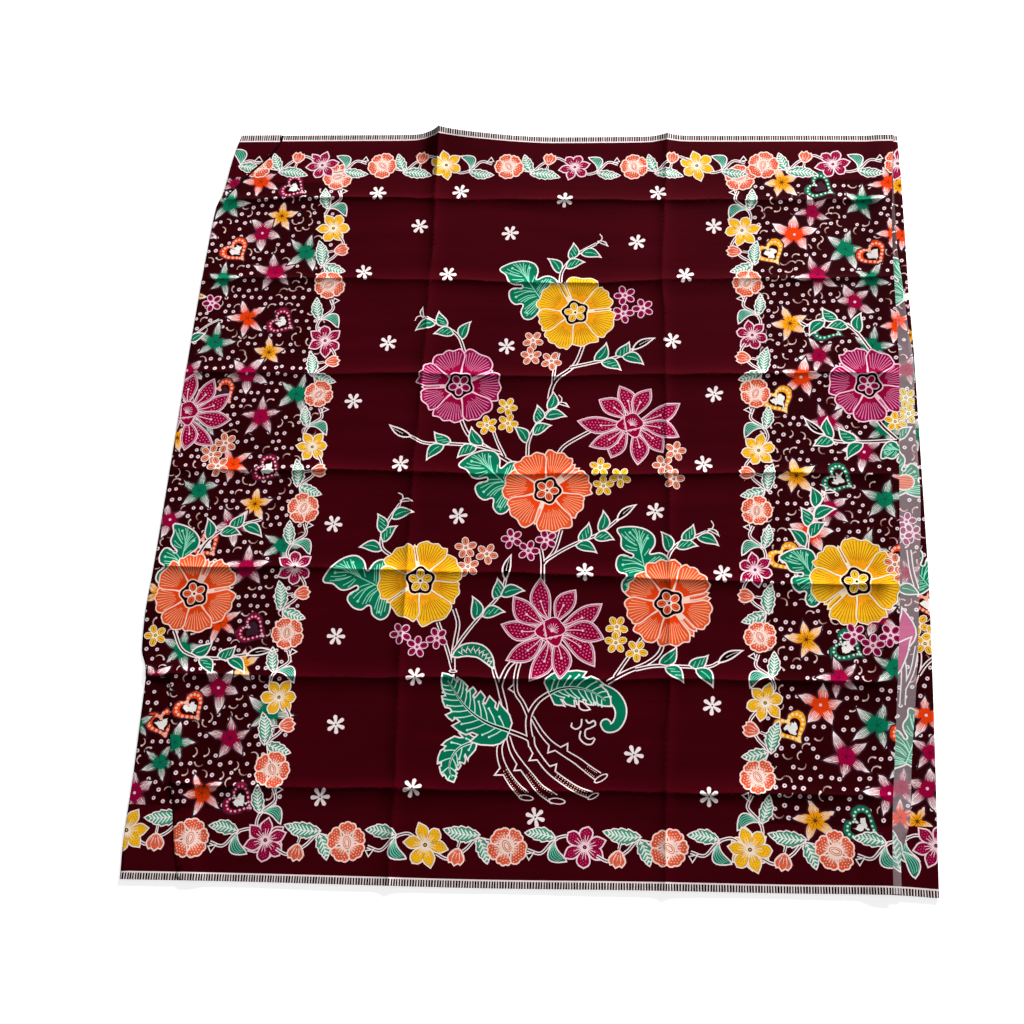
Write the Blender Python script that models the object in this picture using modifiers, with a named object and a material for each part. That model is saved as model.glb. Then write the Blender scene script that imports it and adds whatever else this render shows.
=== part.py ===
"""A batik sarong: a printed cotton tube laid flat and doubled, with the crease grid of its package.

Metres, +Z up, hem at -Y. The cloth rests on z = 0 and its box is centred on the origin.
Each layer is an open surface with a Solidify wall, GAP apart from the layer it lies on.
"""
import math
from collections import namedtuple

import bmesh
import bpy

OBJECT = "batik_sarong"
WALL = 0.001
GAP = 0.0003
LAYER = WALL + GAP

FRONT_BASE = LAYER                      # underside of the upper layer where it lies on the under layer
TURN_MID = LAYER + WALL / 2             # middle of the wall that comes back round the right fold
STRIP_BASE = 2 * LAYER                  # underside of the turned-out seam allowance
FRONT_ON_STRIP = 3 * LAYER              # underside of the upper layer over the allowance
FRONT_ON_PLEAT = 2 * LAYER              # underside of the upper layer over the lower pleat
TOP_PLEAT_BASE = 2 * LAYER              # underside of the pleat on the upper left corner

SEAM_HIDDEN = 0.012                     # the upper layer's end lies this far past the seam
SEAM_RAMP = 0.030                       # the upper layer climbs over the seam in this width
PLEAT_OVERLAP_TOP = 0.004               # how far the upper layer covers the lower pleat, at its start
PLEAT_OVERLAP_HEM = 0.018               # and at the hem
PLEAT_RAMP = 0.022
PLEAT_START_Y = -0.2835
CORNER_TUCK = 0.004                     # the upper layer's edge lies this far inside the corner pleat
CORNER_TUCK_RAMP = 0.010
PLEAT_CLEARANCE = 1.05                  # the corner pleat rides this much higher over a crease
CREST_SHARPNESS = 0.55                  # share of a crease's half width in which it falls to 1/e
CREASE_REACH = 4.0                      # half widths past which a crease is not felt
FOLD_CALM = 0.030                       # creases grow to full height in this width from the folds
FOLD_CALM_LEAST = 0.25                  # share of their height that they keep at the folds

Edge = namedtuple("Edge", "y x")
Hem = namedtuple("Hem", "x y")
Crease = namedtuple("Crease", "y_left y_middle y_right height half_width")

CREASE_X = (-0.28, 0.02, 0.32)          # where the row creases' three y values are read

LEFT_FOLD = (
    Edge(0.534, -0.452), Edge(0.491, -0.461), Edge(0.436, -0.469), Edge(0.414, -0.477),
    Edge(0.328, -0.483), Edge(0.176, -0.490), Edge(0.028, -0.495), Edge(-0.140, -0.501),
    Edge(-0.200, -0.504), Edge(-0.248, -0.502), Edge(-0.271, -0.494), Edge(-0.284, -0.492),
    Edge(-0.402, -0.492), Edge(-0.489, -0.494), Edge(-0.537, -0.492))
RIGHT_FOLD = (
    Edge(0.520, 0.500), Edge(0.442, 0.502), Edge(0.281, 0.502), Edge(0.163, 0.504),
    Edge(-0.124, 0.504), Edge(-0.224, 0.502), Edge(-0.417, 0.496), Edge(-0.528, 0.492))
FRONT_END = (
    Edge(0.520, 0.4945), Edge(0.440, 0.488), Edge(0.321, 0.483), Edge(0.199, 0.483), Edge(-0.003, 0.474),
    Edge(-0.165, 0.466), Edge(-0.278, 0.457), Edge(-0.357, 0.450), Edge(-0.450, 0.442),
    Edge(-0.527, 0.439))
ALLOWANCE_END = (
    Edge(0.520, 0.494), Edge(0.423, 0.490), Edge(0.340, 0.490), Edge(0.281, 0.494),
    Edge(0.214, 0.498), Edge(0.163, 0.502), Edge(0.067, 0.499), Edge(-0.003, 0.500),
    Edge(-0.165, 0.490), Edge(-0.268, 0.481), Edge(-0.373, 0.469), Edge(-0.434, 0.464),
    Edge(-0.491, 0.450), Edge(-0.527, 0.449))
LOWER_PLEAT_FOLD = (
    Edge(-0.284, -0.460), Edge(-0.368, -0.449), Edge(-0.426, -0.440), Edge(-0.487, -0.430),
    Edge(-0.536, -0.420))
CORNER_PLEAT_FOLD = (
    Edge(0.533, -0.391), Edge(0.521, -0.393), Edge(0.468, -0.433), Edge(0.425, -0.468))
LEFT_CREASE = (
    Edge(0.534, -0.156), Edge(0.312, -0.156), Edge(0.158, -0.157), Edge(0.108, -0.160),
    Edge(-0.229, -0.162), Edge(-0.405, -0.160), Edge(-0.535, -0.158))
RIGHT_CREASE = (
    Edge(0.524, 0.174), Edge(0.419, 0.172), Edge(0.288, 0.169), Edge(0.145, 0.174),
    Edge(0.007, 0.176), Edge(-0.137, 0.180), Edge(-0.274, 0.178), Edge(-0.413, 0.175),
    Edge(-0.529, 0.173))

TOP_HEM = (
    Hem(-0.452, 0.534), Hem(-0.275, 0.533), Hem(-0.190, 0.532), Hem(-0.156, 0.537),
    Hem(-0.097, 0.533), Hem(-0.044, 0.528), Hem(0.009, 0.525), Hem(0.147, 0.5240),
    Hem(0.174, 0.5265), Hem(0.199, 0.5245), Hem(0.353, 0.523), Hem(0.500, 0.520))
BOTTOM_HEM = (
    Hem(-0.492, -0.537), Hem(-0.318, -0.535), Hem(-0.077, -0.534), Hem(0.153, -0.530),
    Hem(0.322, -0.528), Hem(0.439, -0.526), Hem(0.492, -0.528))

ROW_CREASES = (
    Crease(0.4258, 0.4190, 0.4159, 0.0026, 0.014),
    Crease(0.2949, 0.2860, 0.2920, 0.0024, 0.013),
    Crease(0.1469, 0.1430, 0.1480, 0.0026, 0.015),
    Crease(0.0034, -0.0005, 0.0039, 0.0024, 0.013),
    Crease(-0.1344, -0.1385, -0.1462, 0.0027, 0.015),
    Crease(-0.2796, -0.2765, -0.2719, 0.0030, 0.016),
    Crease(-0.4196, -0.4160, -0.4122, 0.0028, 0.015))

# A column crease stands higher at the top hem, where the package's corner points up.
Column = namedtuple("Column", "height half_width peak peak_left peak_right peak_fade")
LEFT_COLUMN = Column(0.0026, 0.012, 0.0120, 0.012, 0.042, 0.045)
RIGHT_COLUMN = Column(0.0024, 0.011, 0.0042, 0.010, 0.016, 0.030)

Slot = namedtuple("Slot", "name colour roughness")
PRINTED = Slot("printed_cotton", (0.110, 0.008, 0.022, 1.0), 0.62)
PRINTED_PLEAT = Slot("printed_cotton_pleat", (0.135, 0.012, 0.030, 1.0), 0.62)
PRINTED_UNDER = Slot("printed_cotton_under", (0.085, 0.006, 0.016, 1.0), 0.66)
WRONG_SIDE = Slot("cotton_wrong_side", (0.480, 0.330, 0.350, 1.0), 0.75)


def read_curve(table, at):
    """Value of a two-column table at a key, smooth between its rows and never past them."""
    rows = sorted((tuple(row) for row in table), key=lambda row: row[0])
    if at <= rows[0][0]:
        return rows[0][1]
    if at >= rows[-1][0]:
        return rows[-1][1]
    slopes = [(b[1] - a[1]) / (b[0] - a[0]) for a, b in zip(rows, rows[1:])]
    tangents = [slopes[0]]
    for before, after in zip(slopes, slopes[1:]):
        same_way = before * after > 0
        tangents.append(2 * before * after / (before + after) if same_way else 0.0)
    tangents.append(slopes[-1])
    for index, (a, b) in enumerate(zip(rows, rows[1:])):
        if at <= b[0]:
            span = b[0] - a[0]
            t = (at - a[0]) / span
            rise = (b[1] - a[1]) * (3 * t * t - 2 * t ** 3)
            lean_in = span * tangents[index] * (t ** 3 - 2 * t * t + t)
            lean_out = span * tangents[index + 1] * (t ** 3 - t * t)
            return a[1] + rise + lean_in + lean_out
    return rows[-1][1]


def ease(t):
    """0 to 1 with level ends."""
    t = min(1.0, max(0.0, t))
    return t * t * (3 - 2 * t)


def crease_y(crease, x):
    """y of a row crease at x, through its three read places."""
    left, middle, right = CREASE_X
    if x < middle:
        return crease.y_left + (crease.y_middle - crease.y_left) * ease((x - left) / (middle - left))
    return crease.y_middle + (crease.y_right - crease.y_middle) * ease((x - middle) / (right - middle))


def ridge(distance, half_width):
    """A soft fold line: 1 at the crest, falling away on both sides."""
    if abs(distance) > CREASE_REACH * half_width:
        return 0.0
    return math.exp(-abs(distance) / (half_width * CREST_SHARPNESS))


def column_height(column, distance, y, top_y):
    """Height of a column crease above the flat cloth at a distance to the right of its line."""
    fade = math.exp(-max(0.0, top_y - y) / column.peak_fade)
    reach = column.peak_right if distance > 0 else column.peak_left
    peak = column.peak * fade * math.exp(-abs(distance) / reach)
    return column.height * ridge(distance, column.half_width) + peak


def crease_height(x, y):
    """Height of all the package's creases at a place on the upper layer."""
    rows = sum(c.height * ridge(y - crease_y(c, x), c.half_width) for c in ROW_CREASES)
    top_y = read_curve(TOP_HEM, x)
    left = column_height(LEFT_COLUMN, x - read_curve(LEFT_CREASE, y), y, top_y)
    right = column_height(RIGHT_COLUMN, x - read_curve(RIGHT_CREASE, y), y, top_y)
    return rows + left + right


def edge_calm(x, y):
    """Creases flatten towards the folded sides, where the layers are bound together."""
    inside = min(x - read_curve(LEFT_FOLD, y), read_curve(FRONT_END, y) - x)
    return FOLD_CALM_LEAST + (1 - FOLD_CALM_LEAST) * ease(inside / FOLD_CALM)


def pleat_overlap(y):
    """How far the upper layer covers the lower pleat."""
    share = (PLEAT_START_Y - y) / (PLEAT_START_Y - BOTTOM_HEM[0].y)
    return PLEAT_OVERLAP_TOP + (PLEAT_OVERLAP_HEM - PLEAT_OVERLAP_TOP) * min(1.0, max(0.0, share))


def front_rise(x, y):
    """How far the upper layer is lifted by what lies under it at the seam and at the lower pleat."""
    seam = read_curve(FRONT_END, y) - SEAM_HIDDEN
    over_strip = (FRONT_ON_STRIP - FRONT_BASE) * ease((x - (seam - SEAM_RAMP)) / (SEAM_RAMP - GAP))
    past_pleat = x - (read_curve(LOWER_PLEAT_FOLD, y) + pleat_overlap(y) + GAP)
    near_pleat = ease((PLEAT_START_Y + PLEAT_RAMP - y) / PLEAT_RAMP)
    over_pleat = (FRONT_ON_PLEAT - FRONT_BASE) * near_pleat * (1 - ease(past_pleat / PLEAT_RAMP))
    return over_strip + over_pleat


def front_underside(x, y):
    """z of the upper layer's underside."""
    return FRONT_BASE + front_rise(x, y) + crease_height(x, y) * edge_calm(x, y)


def front_left(y):
    """x of the upper layer's left edge: the fold, but for the two pleats."""
    if y < PLEAT_START_Y:
        return read_curve(LOWER_PLEAT_FOLD, y)
    corner_end = CORNER_PLEAT_FOLD[-1].y
    tucked = CORNER_TUCK * ease((y - corner_end) / CORNER_TUCK_RAMP)
    return read_curve(LEFT_FOLD, y) + tucked


def material_for(slot):
    """A Principled material of one colour."""
    material = bpy.data.materials.new(slot.name)
    material.use_nodes = True
    shader = material.node_tree.nodes["Principled BSDF"]
    shader.inputs["Base Color"].default_value = slot.colour
    shader.inputs["Roughness"].default_value = slot.roughness
    shader.inputs["Metallic"].default_value = 0.0
    material.diffuse_color = slot.colour
    return material


def cloth(name, across, along, place, slot, offset):
    """A grid of across by along cells, each vertex moved to place(column, row), with a wall."""
    mesh = bpy.data.meshes.new(name)
    grid = bmesh.new()
    bmesh.ops.create_grid(grid, x_segments=across, y_segments=along, size=1.0)
    for vertex in grid.verts:
        column = round((vertex.co.x + 1) / 2 * across)
        row = round((vertex.co.y + 1) / 2 * along)
        vertex.co = place(column, row)
    bmesh.ops.recalc_face_normals(grid, faces=grid.faces)
    if sum(face.normal.z * face.calc_area() for face in grid.faces) < 0:
        bmesh.ops.reverse_faces(grid, faces=grid.faces)
    grid.to_mesh(mesh)
    grid.free()
    piece = bpy.data.objects.new(name, mesh)
    mesh.materials.append(material_for(slot))
    wall = piece.modifiers.new("wall", "SOLIDIFY")
    wall.thickness = WALL
    wall.offset = offset
    return piece


def front_columns():
    """Grid columns of the upper layer: (curve, share of the way to the next curve, offset)."""
    crease_steps = (-0.030, -0.010, 0.0, 0.010, 0.030)
    far_steps = (0.060, 0.105)
    columns = [("left", 0.0), ("left", 0.005), ("left", 0.012), ("left", 0.019), ("left", 0.030),
               ("left", 0.042), ("left", 0.075), ("left", 0.150), ("left", 0.230)]
    columns += [("crease_left", step) for step in crease_steps + far_steps]
    columns += [("crease_right", step) for step in (-0.110, -0.060) + crease_steps]
    columns += [("crease_right", step) for step in (0.080, 0.150, 0.200)]
    columns += [("end", step) for step in (-0.060, -0.042, -0.034, -0.026, -0.019, -0.012, -0.005, 0.0)]
    return columns


def front_x(column, y):
    """x of a grid column of the upper layer at y."""
    curve, step = column
    start = {"crease_left": LEFT_CREASE, "crease_right": RIGHT_CREASE, "end": FRONT_END}.get(curve)
    return (front_left(y) if start is None else read_curve(start, y)) + step


def front_rows():
    """Grid rows of the upper layer, bottom to top: (row line, offset) or (row line, half way up)."""
    steps = (-0.017, -0.006, 0.0, 0.006, 0.017)
    rows = [(0, 0.0), (0, 0.012), (0, 0.060)]
    for line in range(1, len(ROW_CREASES) + 1):
        rows += [(line, step) for step in steps]
        rows.append((line, "half"))
    top = len(ROW_CREASES) + 1
    return rows + [(top, -0.030), (top, -0.010), (top, 0.0)]


def front_line_y(line, x):
    """y of a hem or a row crease at x, counted from the bottom hem."""
    if line == 0:
        return read_curve(BOTTOM_HEM, x)
    if line > len(ROW_CREASES):
        return read_curve(TOP_HEM, x)
    return crease_y(ROW_CREASES[-line], x)


def front_y(row, x):
    """y of a grid row of the upper layer at x."""
    line, step = row
    if step == "half":
        return (front_line_y(line, x) + front_line_y(line + 1, x)) / 2
    return front_line_y(line, x) + step


def make_front_panel():
    """The upper layer, from the left fold to the seam, with every crease of the package."""
    columns = front_columns()
    rows = front_rows()
    first_above = next(i for i, row in enumerate(rows) if front_y(row, LEFT_FOLD[0].x) > PLEAT_START_Y)

    def place(column, row):
        x = front_x(columns[column], 0.0)
        for _ in range(3):
            y = front_y(rows[row], x)
            if columns[column][0] == "left" and row == first_above:
                y = max(y, PLEAT_START_Y + GAP)
            x = front_x(columns[column], y)
        return x, y, front_underside(x, y)

    return cloth("front_panel", len(columns) - 1, len(rows) - 1, place, PRINTED, 1.0)


def make_back_panel():
    """The under layer: flat on the floor, round the right fold and back to the seam."""
    flat_shares = (0.0, 0.004, 0.25, 0.5, 0.75, 0.96)
    turn_steps = 6
    margin_shares = (0.35, 0.7, 1.0)
    turn_radius = (TURN_MID - WALL / 2) / 2
    rows = 28

    def place(column, row):
        share = row / rows
        lean = read_curve(BOTTOM_HEM, 0.0) + share * (read_curve(TOP_HEM, 0.0) - read_curve(BOTTOM_HEM, 0.0))
        left = read_curve(LEFT_FOLD, lean)
        right = read_curve(RIGHT_FOLD, lean) - WALL / 2 - turn_radius
        seam = read_curve(FRONT_END, lean) - SEAM_HIDDEN
        if column < len(flat_shares):
            x = left + (right - left) * flat_shares[column]
            z = WALL / 2
        elif column <= len(flat_shares) + turn_steps:
            angle = math.pi * (column - len(flat_shares)) / turn_steps
            x = right + turn_radius * math.sin(angle)
            z = WALL / 2 + turn_radius * (1 - math.cos(angle))
        else:
            inward = margin_shares[column - len(flat_shares) - turn_steps - 1]
            x = right + (seam - right) * inward
            z = TURN_MID
        bottom = read_curve(BOTTOM_HEM, x)
        return x, bottom + share * (read_curve(TOP_HEM, x) - bottom), z

    across = len(flat_shares) + turn_steps + len(margin_shares)
    return cloth("back_panel", across, rows, place, PRINTED_UNDER, 0.0)


def make_seam_allowance():
    """The turned-out end of the cloth, wrong side up, from the seam to its own raw edge."""
    across = 5
    rows = 34

    def place(column, row):
        share = row / rows
        y = BOTTOM_HEM[-2].y + 0.0008 + share * (TOP_HEM[-1].y - BOTTOM_HEM[-2].y - 0.0012)
        seam = read_curve(FRONT_END, y) - SEAM_HIDDEN
        end = read_curve(ALLOWANCE_END, y)
        return seam + (end - seam) * column / across, y, STRIP_BASE

    return cloth("seam_allowance", across, rows, place, WRONG_SIDE, 1.0)


def make_lower_left_pleat():
    """The lower end of the small pleat: it lies under the upper layer and runs out to the left fold."""
    across = 6
    rows = 16

    def place(column, row):
        share = row / rows
        lean = BOTTOM_HEM[0].y + share * (PLEAT_START_Y - GAP - BOTTOM_HEM[0].y)
        left = read_curve(LEFT_FOLD, lean)
        right = read_curve(LOWER_PLEAT_FOLD, lean) + pleat_overlap(lean)
        x = left + (right - left) * column / across
        bottom = read_curve(BOTTOM_HEM, x)
        return x, bottom + share * (PLEAT_START_Y - GAP - bottom), FRONT_BASE

    return cloth("lower_left_pleat", across, rows, place, PRINTED_PLEAT, 1.0)


def make_top_left_pleat():
    """The slanting pleat on the upper left corner, lying on the upper layer."""
    across = 6
    rows = 14
    low = CORNER_PLEAT_FOLD[-1].y

    def place(column, row):
        share = row / rows
        lean = low + share * (TOP_HEM[0].y - low)
        left = read_curve(LEFT_FOLD, lean)
        right = read_curve(CORNER_PLEAT_FOLD, lean)
        x = left + (right - left) * column / across
        y = low + share * (read_curve(TOP_HEM, x) - low)
        return x, y, corner_base(x, y)

    return cloth("top_left_pleat", across, rows, place, PRINTED_PLEAT, 1.0)


def corner_base(x, y):
    """z of the corner pleat's underside: clear of the upper layer and its creases below."""
    return TOP_PLEAT_BASE + crease_height(x, y) * edge_calm(x, y) * PLEAT_CLEARANCE


def clear_scene():
    """Remove what the scene holds."""
    for thing in list(bpy.data.objects):
        bpy.data.objects.remove(thing, do_unlink=True)


def centre_on_origin(pieces):
    """Parent the pieces to an empty that puts the middle of their box over the origin."""
    bpy.context.view_layer.update()
    corners = [piece.matrix_world @ vertex.co for piece in pieces for vertex in evaluated(piece).vertices]
    middle_x = (min(c.x for c in corners) + max(c.x for c in corners)) / 2
    middle_y = (min(c.y for c in corners) + max(c.y for c in corners)) / 2
    anchor = bpy.data.objects.new(OBJECT + "_origin", None)
    anchor.location = (-middle_x, -middle_y, 0.0)
    for piece in pieces:
        piece.parent = anchor
    return anchor


def evaluated(piece):
    """The piece's mesh with its modifiers."""
    return piece.evaluated_get(bpy.context.evaluated_depsgraph_get()).data


def main():
    clear_scene()
    parts = bpy.data.collections.new(OBJECT)
    bpy.context.scene.collection.children.link(parts)
    pieces = [make_front_panel(), make_back_panel(), make_seam_allowance(), make_lower_left_pleat(),
              make_top_left_pleat()]
    for piece in pieces:
        parts.objects.link(piece)
    parts.objects.link(centre_on_origin(pieces))


main()
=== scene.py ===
"""A batik sarong laid flat and doubled: the printed cotton, its creases, the light and the camera.

Metres, +Z up, hem at -Y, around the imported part. A place on the cloth is a complex number, x + yj.
The print is drawn as flat shapes, later ones over earlier ones, and is cut into the cloth's own mesh.
"""
import cmath
import math
import random
from collections import namedtuple

import bpy
import numpy as np
from mathutils import Matrix, Vector
from mathutils.geometry import delaunay_2d_cdt


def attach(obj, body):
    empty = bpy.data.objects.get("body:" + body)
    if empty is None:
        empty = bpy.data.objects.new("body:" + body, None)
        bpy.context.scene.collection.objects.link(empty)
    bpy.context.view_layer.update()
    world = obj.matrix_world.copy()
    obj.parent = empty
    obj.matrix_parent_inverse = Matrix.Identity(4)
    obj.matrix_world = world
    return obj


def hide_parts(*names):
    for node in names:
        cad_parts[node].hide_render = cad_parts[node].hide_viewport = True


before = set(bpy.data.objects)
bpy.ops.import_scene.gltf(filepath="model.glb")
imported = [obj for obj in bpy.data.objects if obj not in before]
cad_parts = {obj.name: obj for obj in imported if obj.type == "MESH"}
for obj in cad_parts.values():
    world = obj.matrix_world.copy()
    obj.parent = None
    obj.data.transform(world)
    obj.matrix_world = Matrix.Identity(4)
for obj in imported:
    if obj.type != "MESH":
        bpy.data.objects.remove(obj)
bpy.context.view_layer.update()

# ---- sizes and places that the cloth shares with the part ----

WALL = 0.001  # the part's wall, whose outer face the cloth's print lies on
GAP = 0.0003
LAYER = WALL + GAP
CLOTH = 0.0004  # thickness of the cotton with its hidden air
FRONT_TOP = LAYER + WALL  # the print's height on the upper layer, and past the right fold
STRIP_TOP = 2 * LAYER + WALL  # and on the turned-out end and the corner pleat
UNDER_TOP = 0.0009  # height of the under layer's hidden face
FOLD_HALF = FRONT_TOP / 2  # height of the outermost line of a fold
SEAM_HIDDEN = 0.012
SEAM_RAMP = 0.030
PLEAT_OVERLAP_TOP = 0.004
PLEAT_OVERLAP_HEM = 0.018
PLEAT_RAMP = 0.022
PLEAT_START_Y = -0.2835
CORNER_TUCK = 0.004
CORNER_TUCK_RAMP = 0.010
CORNER_LIFT = 0.0007  # the upper layer lifts beside that pleat
CORNER_LIFT_REACH = 0.0026
PLEAT_CLEARANCE = 1.05
CREST_SHARPNESS = 0.55
SLOPE_SHADE = 1.45  # how much steeper the creases are shaded than they stand
SLOPE_MOST = 0.42  # steepest slope that the shading may show
CREST_REACH = 0.0036  # an edge of the print this close to a crease gets more corners
CREST_PITCH = 0.0016  # and stands this far apart there
CREST_OFFSETS = (-0.009, -0.006, -0.0036, -0.0018, -0.0008, 0.0, 0.0008, 0.0018, 0.0036, 0.006, 0.009)
CORNER_OFFSETS = (-0.001, 0.0010, 0.0026, 0.0050, 0.0090)
CREASE_REACH = 4.0
FOLD_CALM = 0.030
FOLD_CALM_LEAST = 0.25
CREASE_X = (-0.28, 0.02, 0.32)
TABLE_STEP = 0.0005
FINEST_UNDER = 0.0011  # width of the finest lines in the print that faces the floor
HEM_LINE = 0.0090  # the printed line stands this far from the hem
SIDE_PERIOD = 0.221  # the side ground's pattern repeats at this height
SCATTER_REACH = 0.0122  # the small white flowers
MITRE = 0.42  # a pointed corner moves out no further than a width over this


def read_curve(rows, at):
    """Value of a two-column table at a key, smooth between its rows and never past them."""
    rows = sorted(rows)
    if at <= rows[0][0]:
        return rows[0][1]
    if at >= rows[-1][0]:
        return rows[-1][1]
    slopes = [(b[1] - a[1]) / (b[0] - a[0]) for a, b in zip(rows, rows[1:])]
    inner = [2 * a * b / (a + b) if a * b > 0 else 0.0 for a, b in zip(slopes, slopes[1:])]
    tangents = [slopes[0]] + inner + [slopes[-1]]
    index = next(number for number, row in enumerate(rows[1:]) if at <= row[0])
    a, b = rows[index:index + 2]
    span = b[0] - a[0]
    t = (at - a[0]) / span
    rise = (b[1] - a[1]) * (3 * t * t - 2 * t ** 3)
    lean_in = span * tangents[index] * (t ** 3 - 2 * t * t + t)
    return a[1] + rise + lean_in + span * tangents[index + 1] * (t ** 3 - t * t)


def pairs(unit, *numbers):
    """Places given as x and y in turn, so many to one."""
    return [complex(x / unit, y / unit) for x, y in zip(numbers[::2], numbers[1::2])]


def route(*numbers):
    """Places given in millimetres, x and y in turn."""
    return pairs(1000, *numbers)


def mm(x, y):
    """A place given in millimetres."""
    return complex(x, y) / 1000


def block(x0, y0, x1, y1):
    """A rectangle between two corners given in millimetres."""
    return route(x0, y0, x1, y0, x1, y1, x0, y1)


class Curve:
    """A line on the cloth through rows of key and value in millimetres, read once at a fine step."""

    def __init__(self, *numbers):
        self.rows = [(place.real, place.imag) for place in route(*numbers)]
        keys = [key for key, _ in self.rows]
        self.keys = np.arange(min(keys), max(keys) + TABLE_STEP, TABLE_STEP)
        self.values = np.array([read_curve(self.rows, key) for key in self.keys])

    def __call__(self, at):
        return np.interp(at, self.keys, self.values)


# x at y
left_fold = Curve(534, -452, 491, -461, 436, -469, 414, -477, 328, -483, 176, -490, 28, -495, -140, -501,
                  -200, -504, -248, -502, -271, -494, -284, -492, -402, -492, -489, -494, -537, -492)
right_fold = Curve(520, 500, 442, 502, 281, 502, 163, 504, -124, 504, -224, 502, -417, 496, -528, 492)
front_end = Curve(520, 494.5, 440, 488, 321, 483, 199, 483, -3, 474, -165, 466, -278, 457, -357, 450,
                  -450, 442, -527, 439)
allowance_end = Curve(520, 494, 423, 490, 340, 490, 281, 494, 214, 498, 163, 502, 67, 499, -3, 500,
                      -165, 490, -268, 481, -373, 469, -434, 464, -491, 450, -527, 449)
lower_pleat_fold = Curve(-284, -460, -368, -449, -426, -440, -487, -430, -536, -420)
corner_pleat_fold = Curve(533, -391, 521, -393, 468, -433, 425, -468)
left_crease = Curve(534, -156, 312, -156, 158, -157, 108, -160, -229, -162, -405, -160, -535, -158)
right_crease = Curve(524, 174, 419, 172, 288, 169, 145, 174, 7, 176, -137, 180, -274, 178, -413, 175,
                     -529, 173)
# y at x
top_hem = Curve(-452, 534, -275, 533, -190, 532, -156, 537, -97, 533, -44, 528, 9, 525, 147, 524,
                174, 526.5, 199, 524.5, 353, 523, 500, 520)
bottom_hem = Curve(-492, -537, -318, -535, -77, -534, 153, -530, 322, -528, 439, -526, 492, -528)
CORNER_LOW, CORNER_HIGH = corner_pleat_fold.rows[-1][0], corner_pleat_fold.rows[0][0]

Crease = namedtuple("Crease", "y_left y_middle y_right height half_width")
ROW_CREASES = (
    Crease(0.4258, 0.4190, 0.4159, 0.0026, 0.014),
    Crease(0.2949, 0.2860, 0.2920, 0.0024, 0.013),
    Crease(0.1469, 0.1430, 0.1480, 0.0026, 0.015),
    Crease(0.0034, -0.0005, 0.0039, 0.0024, 0.013),
    Crease(-0.1344, -0.1385, -0.1462, 0.0027, 0.015),
    Crease(-0.2796, -0.2765, -0.2719, 0.0030, 0.016),
    Crease(-0.4196, -0.4160, -0.4122, 0.0028, 0.015))
Column = namedtuple("Column", "line seed wobble height half_width peak peak_left peak_right peak_fade")
COLUMNS = (
    Column(left_crease, 3, 7, 0.0026, 0.012, 0.0120, 0.012, 0.042, 0.045),
    Column(right_crease, 5, 8, 0.0024, 0.011, 0.0042, 0.010, 0.016, 0.030))

# ---- inks ----


def ink(red, green, blue):
    """A colour as a screen shows it, 0 to 255, in linear light."""
    return tuple((value / 255) ** 2.2 for value in (red, green, blue))


def mixed(first, second, share):
    """A colour that is a share of the way from the first to the second."""
    return tuple(a + (b - a) * share for a, b in zip(first, second))


def through(colour, pale, share):
    """A colour as it shows through the cloth; the dark ground pales most."""
    if isinstance(colour, Fade):
        return colour._replace(inner=through(colour.inner, pale, share),
                               outer=through(colour.outer, pale, share))
    if max(colour) < 0.08:
        return mixed(colour, pale, share)
    return mixed([min(0.85, 1.3 * part) for part in colour], pale, 0.5 * share)


Fade = namedtuple("Fade", "middle inner outer near far")  # a colour that changes away from a place

WAX = ink(242, 226, 226)
PINK_WAX = ink(240, 190, 205)
CREAM = ink(250, 225, 190)
GROUND = ink(61, 0, 17)
SIDE_GROUND = ink(46, 0, 11)
CORE = ink(28, 2, 10)
HALO = ink(58, 34, 46)
TEAL = ink(6, 112, 82)
DEEP_TEAL = ink(4, 84, 64)
MINT = ink(140, 215, 185)
PALE_MINT = ink(196, 234, 218)
SALMON = ink(226, 120, 92)
ROSE = ink(222, 120, 160)
BROWN = ink(120, 62, 20)
PALE = ink(206, 186, 192)  # the cloth's wrong side, which the print shows through
STRIP_FADE = 0.26
FADED = ((-0.60, 0.30), (0.18, 0.30), (0.225, 0.14), (0.27, 0.16), (0.33, 0.06), (0.60, 0.05))

Colours = namedtuple("Colours", "deep full light edge hatch")
YELLOWS = Colours(ink(236, 150, 20), ink(246, 182, 34), ink(252, 205, 90), CREAM, BROWN)
ORANGES = Colours(ink(222, 62, 16), ink(226, 82, 42), ink(238, 150, 110), ink(246, 205, 190),
                  ink(244, 168, 130))
MAGENTAS = Colours(ink(142, 0, 56), ink(138, 16, 68), ink(196, 80, 130), PINK_WAX, ink(220, 124, 165))
SALMONS = Colours(ink(206, 84, 58), SALMON, ink(240, 170, 145), ink(248, 212, 200), ink(250, 205, 185))
TEALS = Colours(TEAL, ink(20, 130, 96), MINT, WAX, MINT)

# ---- plane geometry ----


def spin(degrees):
    """A turn to the left."""
    return cmath.rect(1.0, math.radians(degrees))


def bearing(way):
    """The degrees that a direction is turned by."""
    return math.degrees(cmath.phase(way))


def box_of(outline):
    """The lowest and the highest corner of an outline."""
    xs = [place.real for place in outline]
    ys = [place.imag for place in outline]
    return complex(min(xs), min(ys)), complex(max(xs), max(ys))


def sides_of(outline):
    """The outline's sides, each a start and an end."""
    return list(zip(outline, outline[1:] + outline[:1]))


def facing_out(outline):
    """The outline, run with its inside on the left."""
    area = sum((a.conjugate() * b).imag for a, b in sides_of(outline))
    return outline if area > 0 else outline[::-1]


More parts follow.
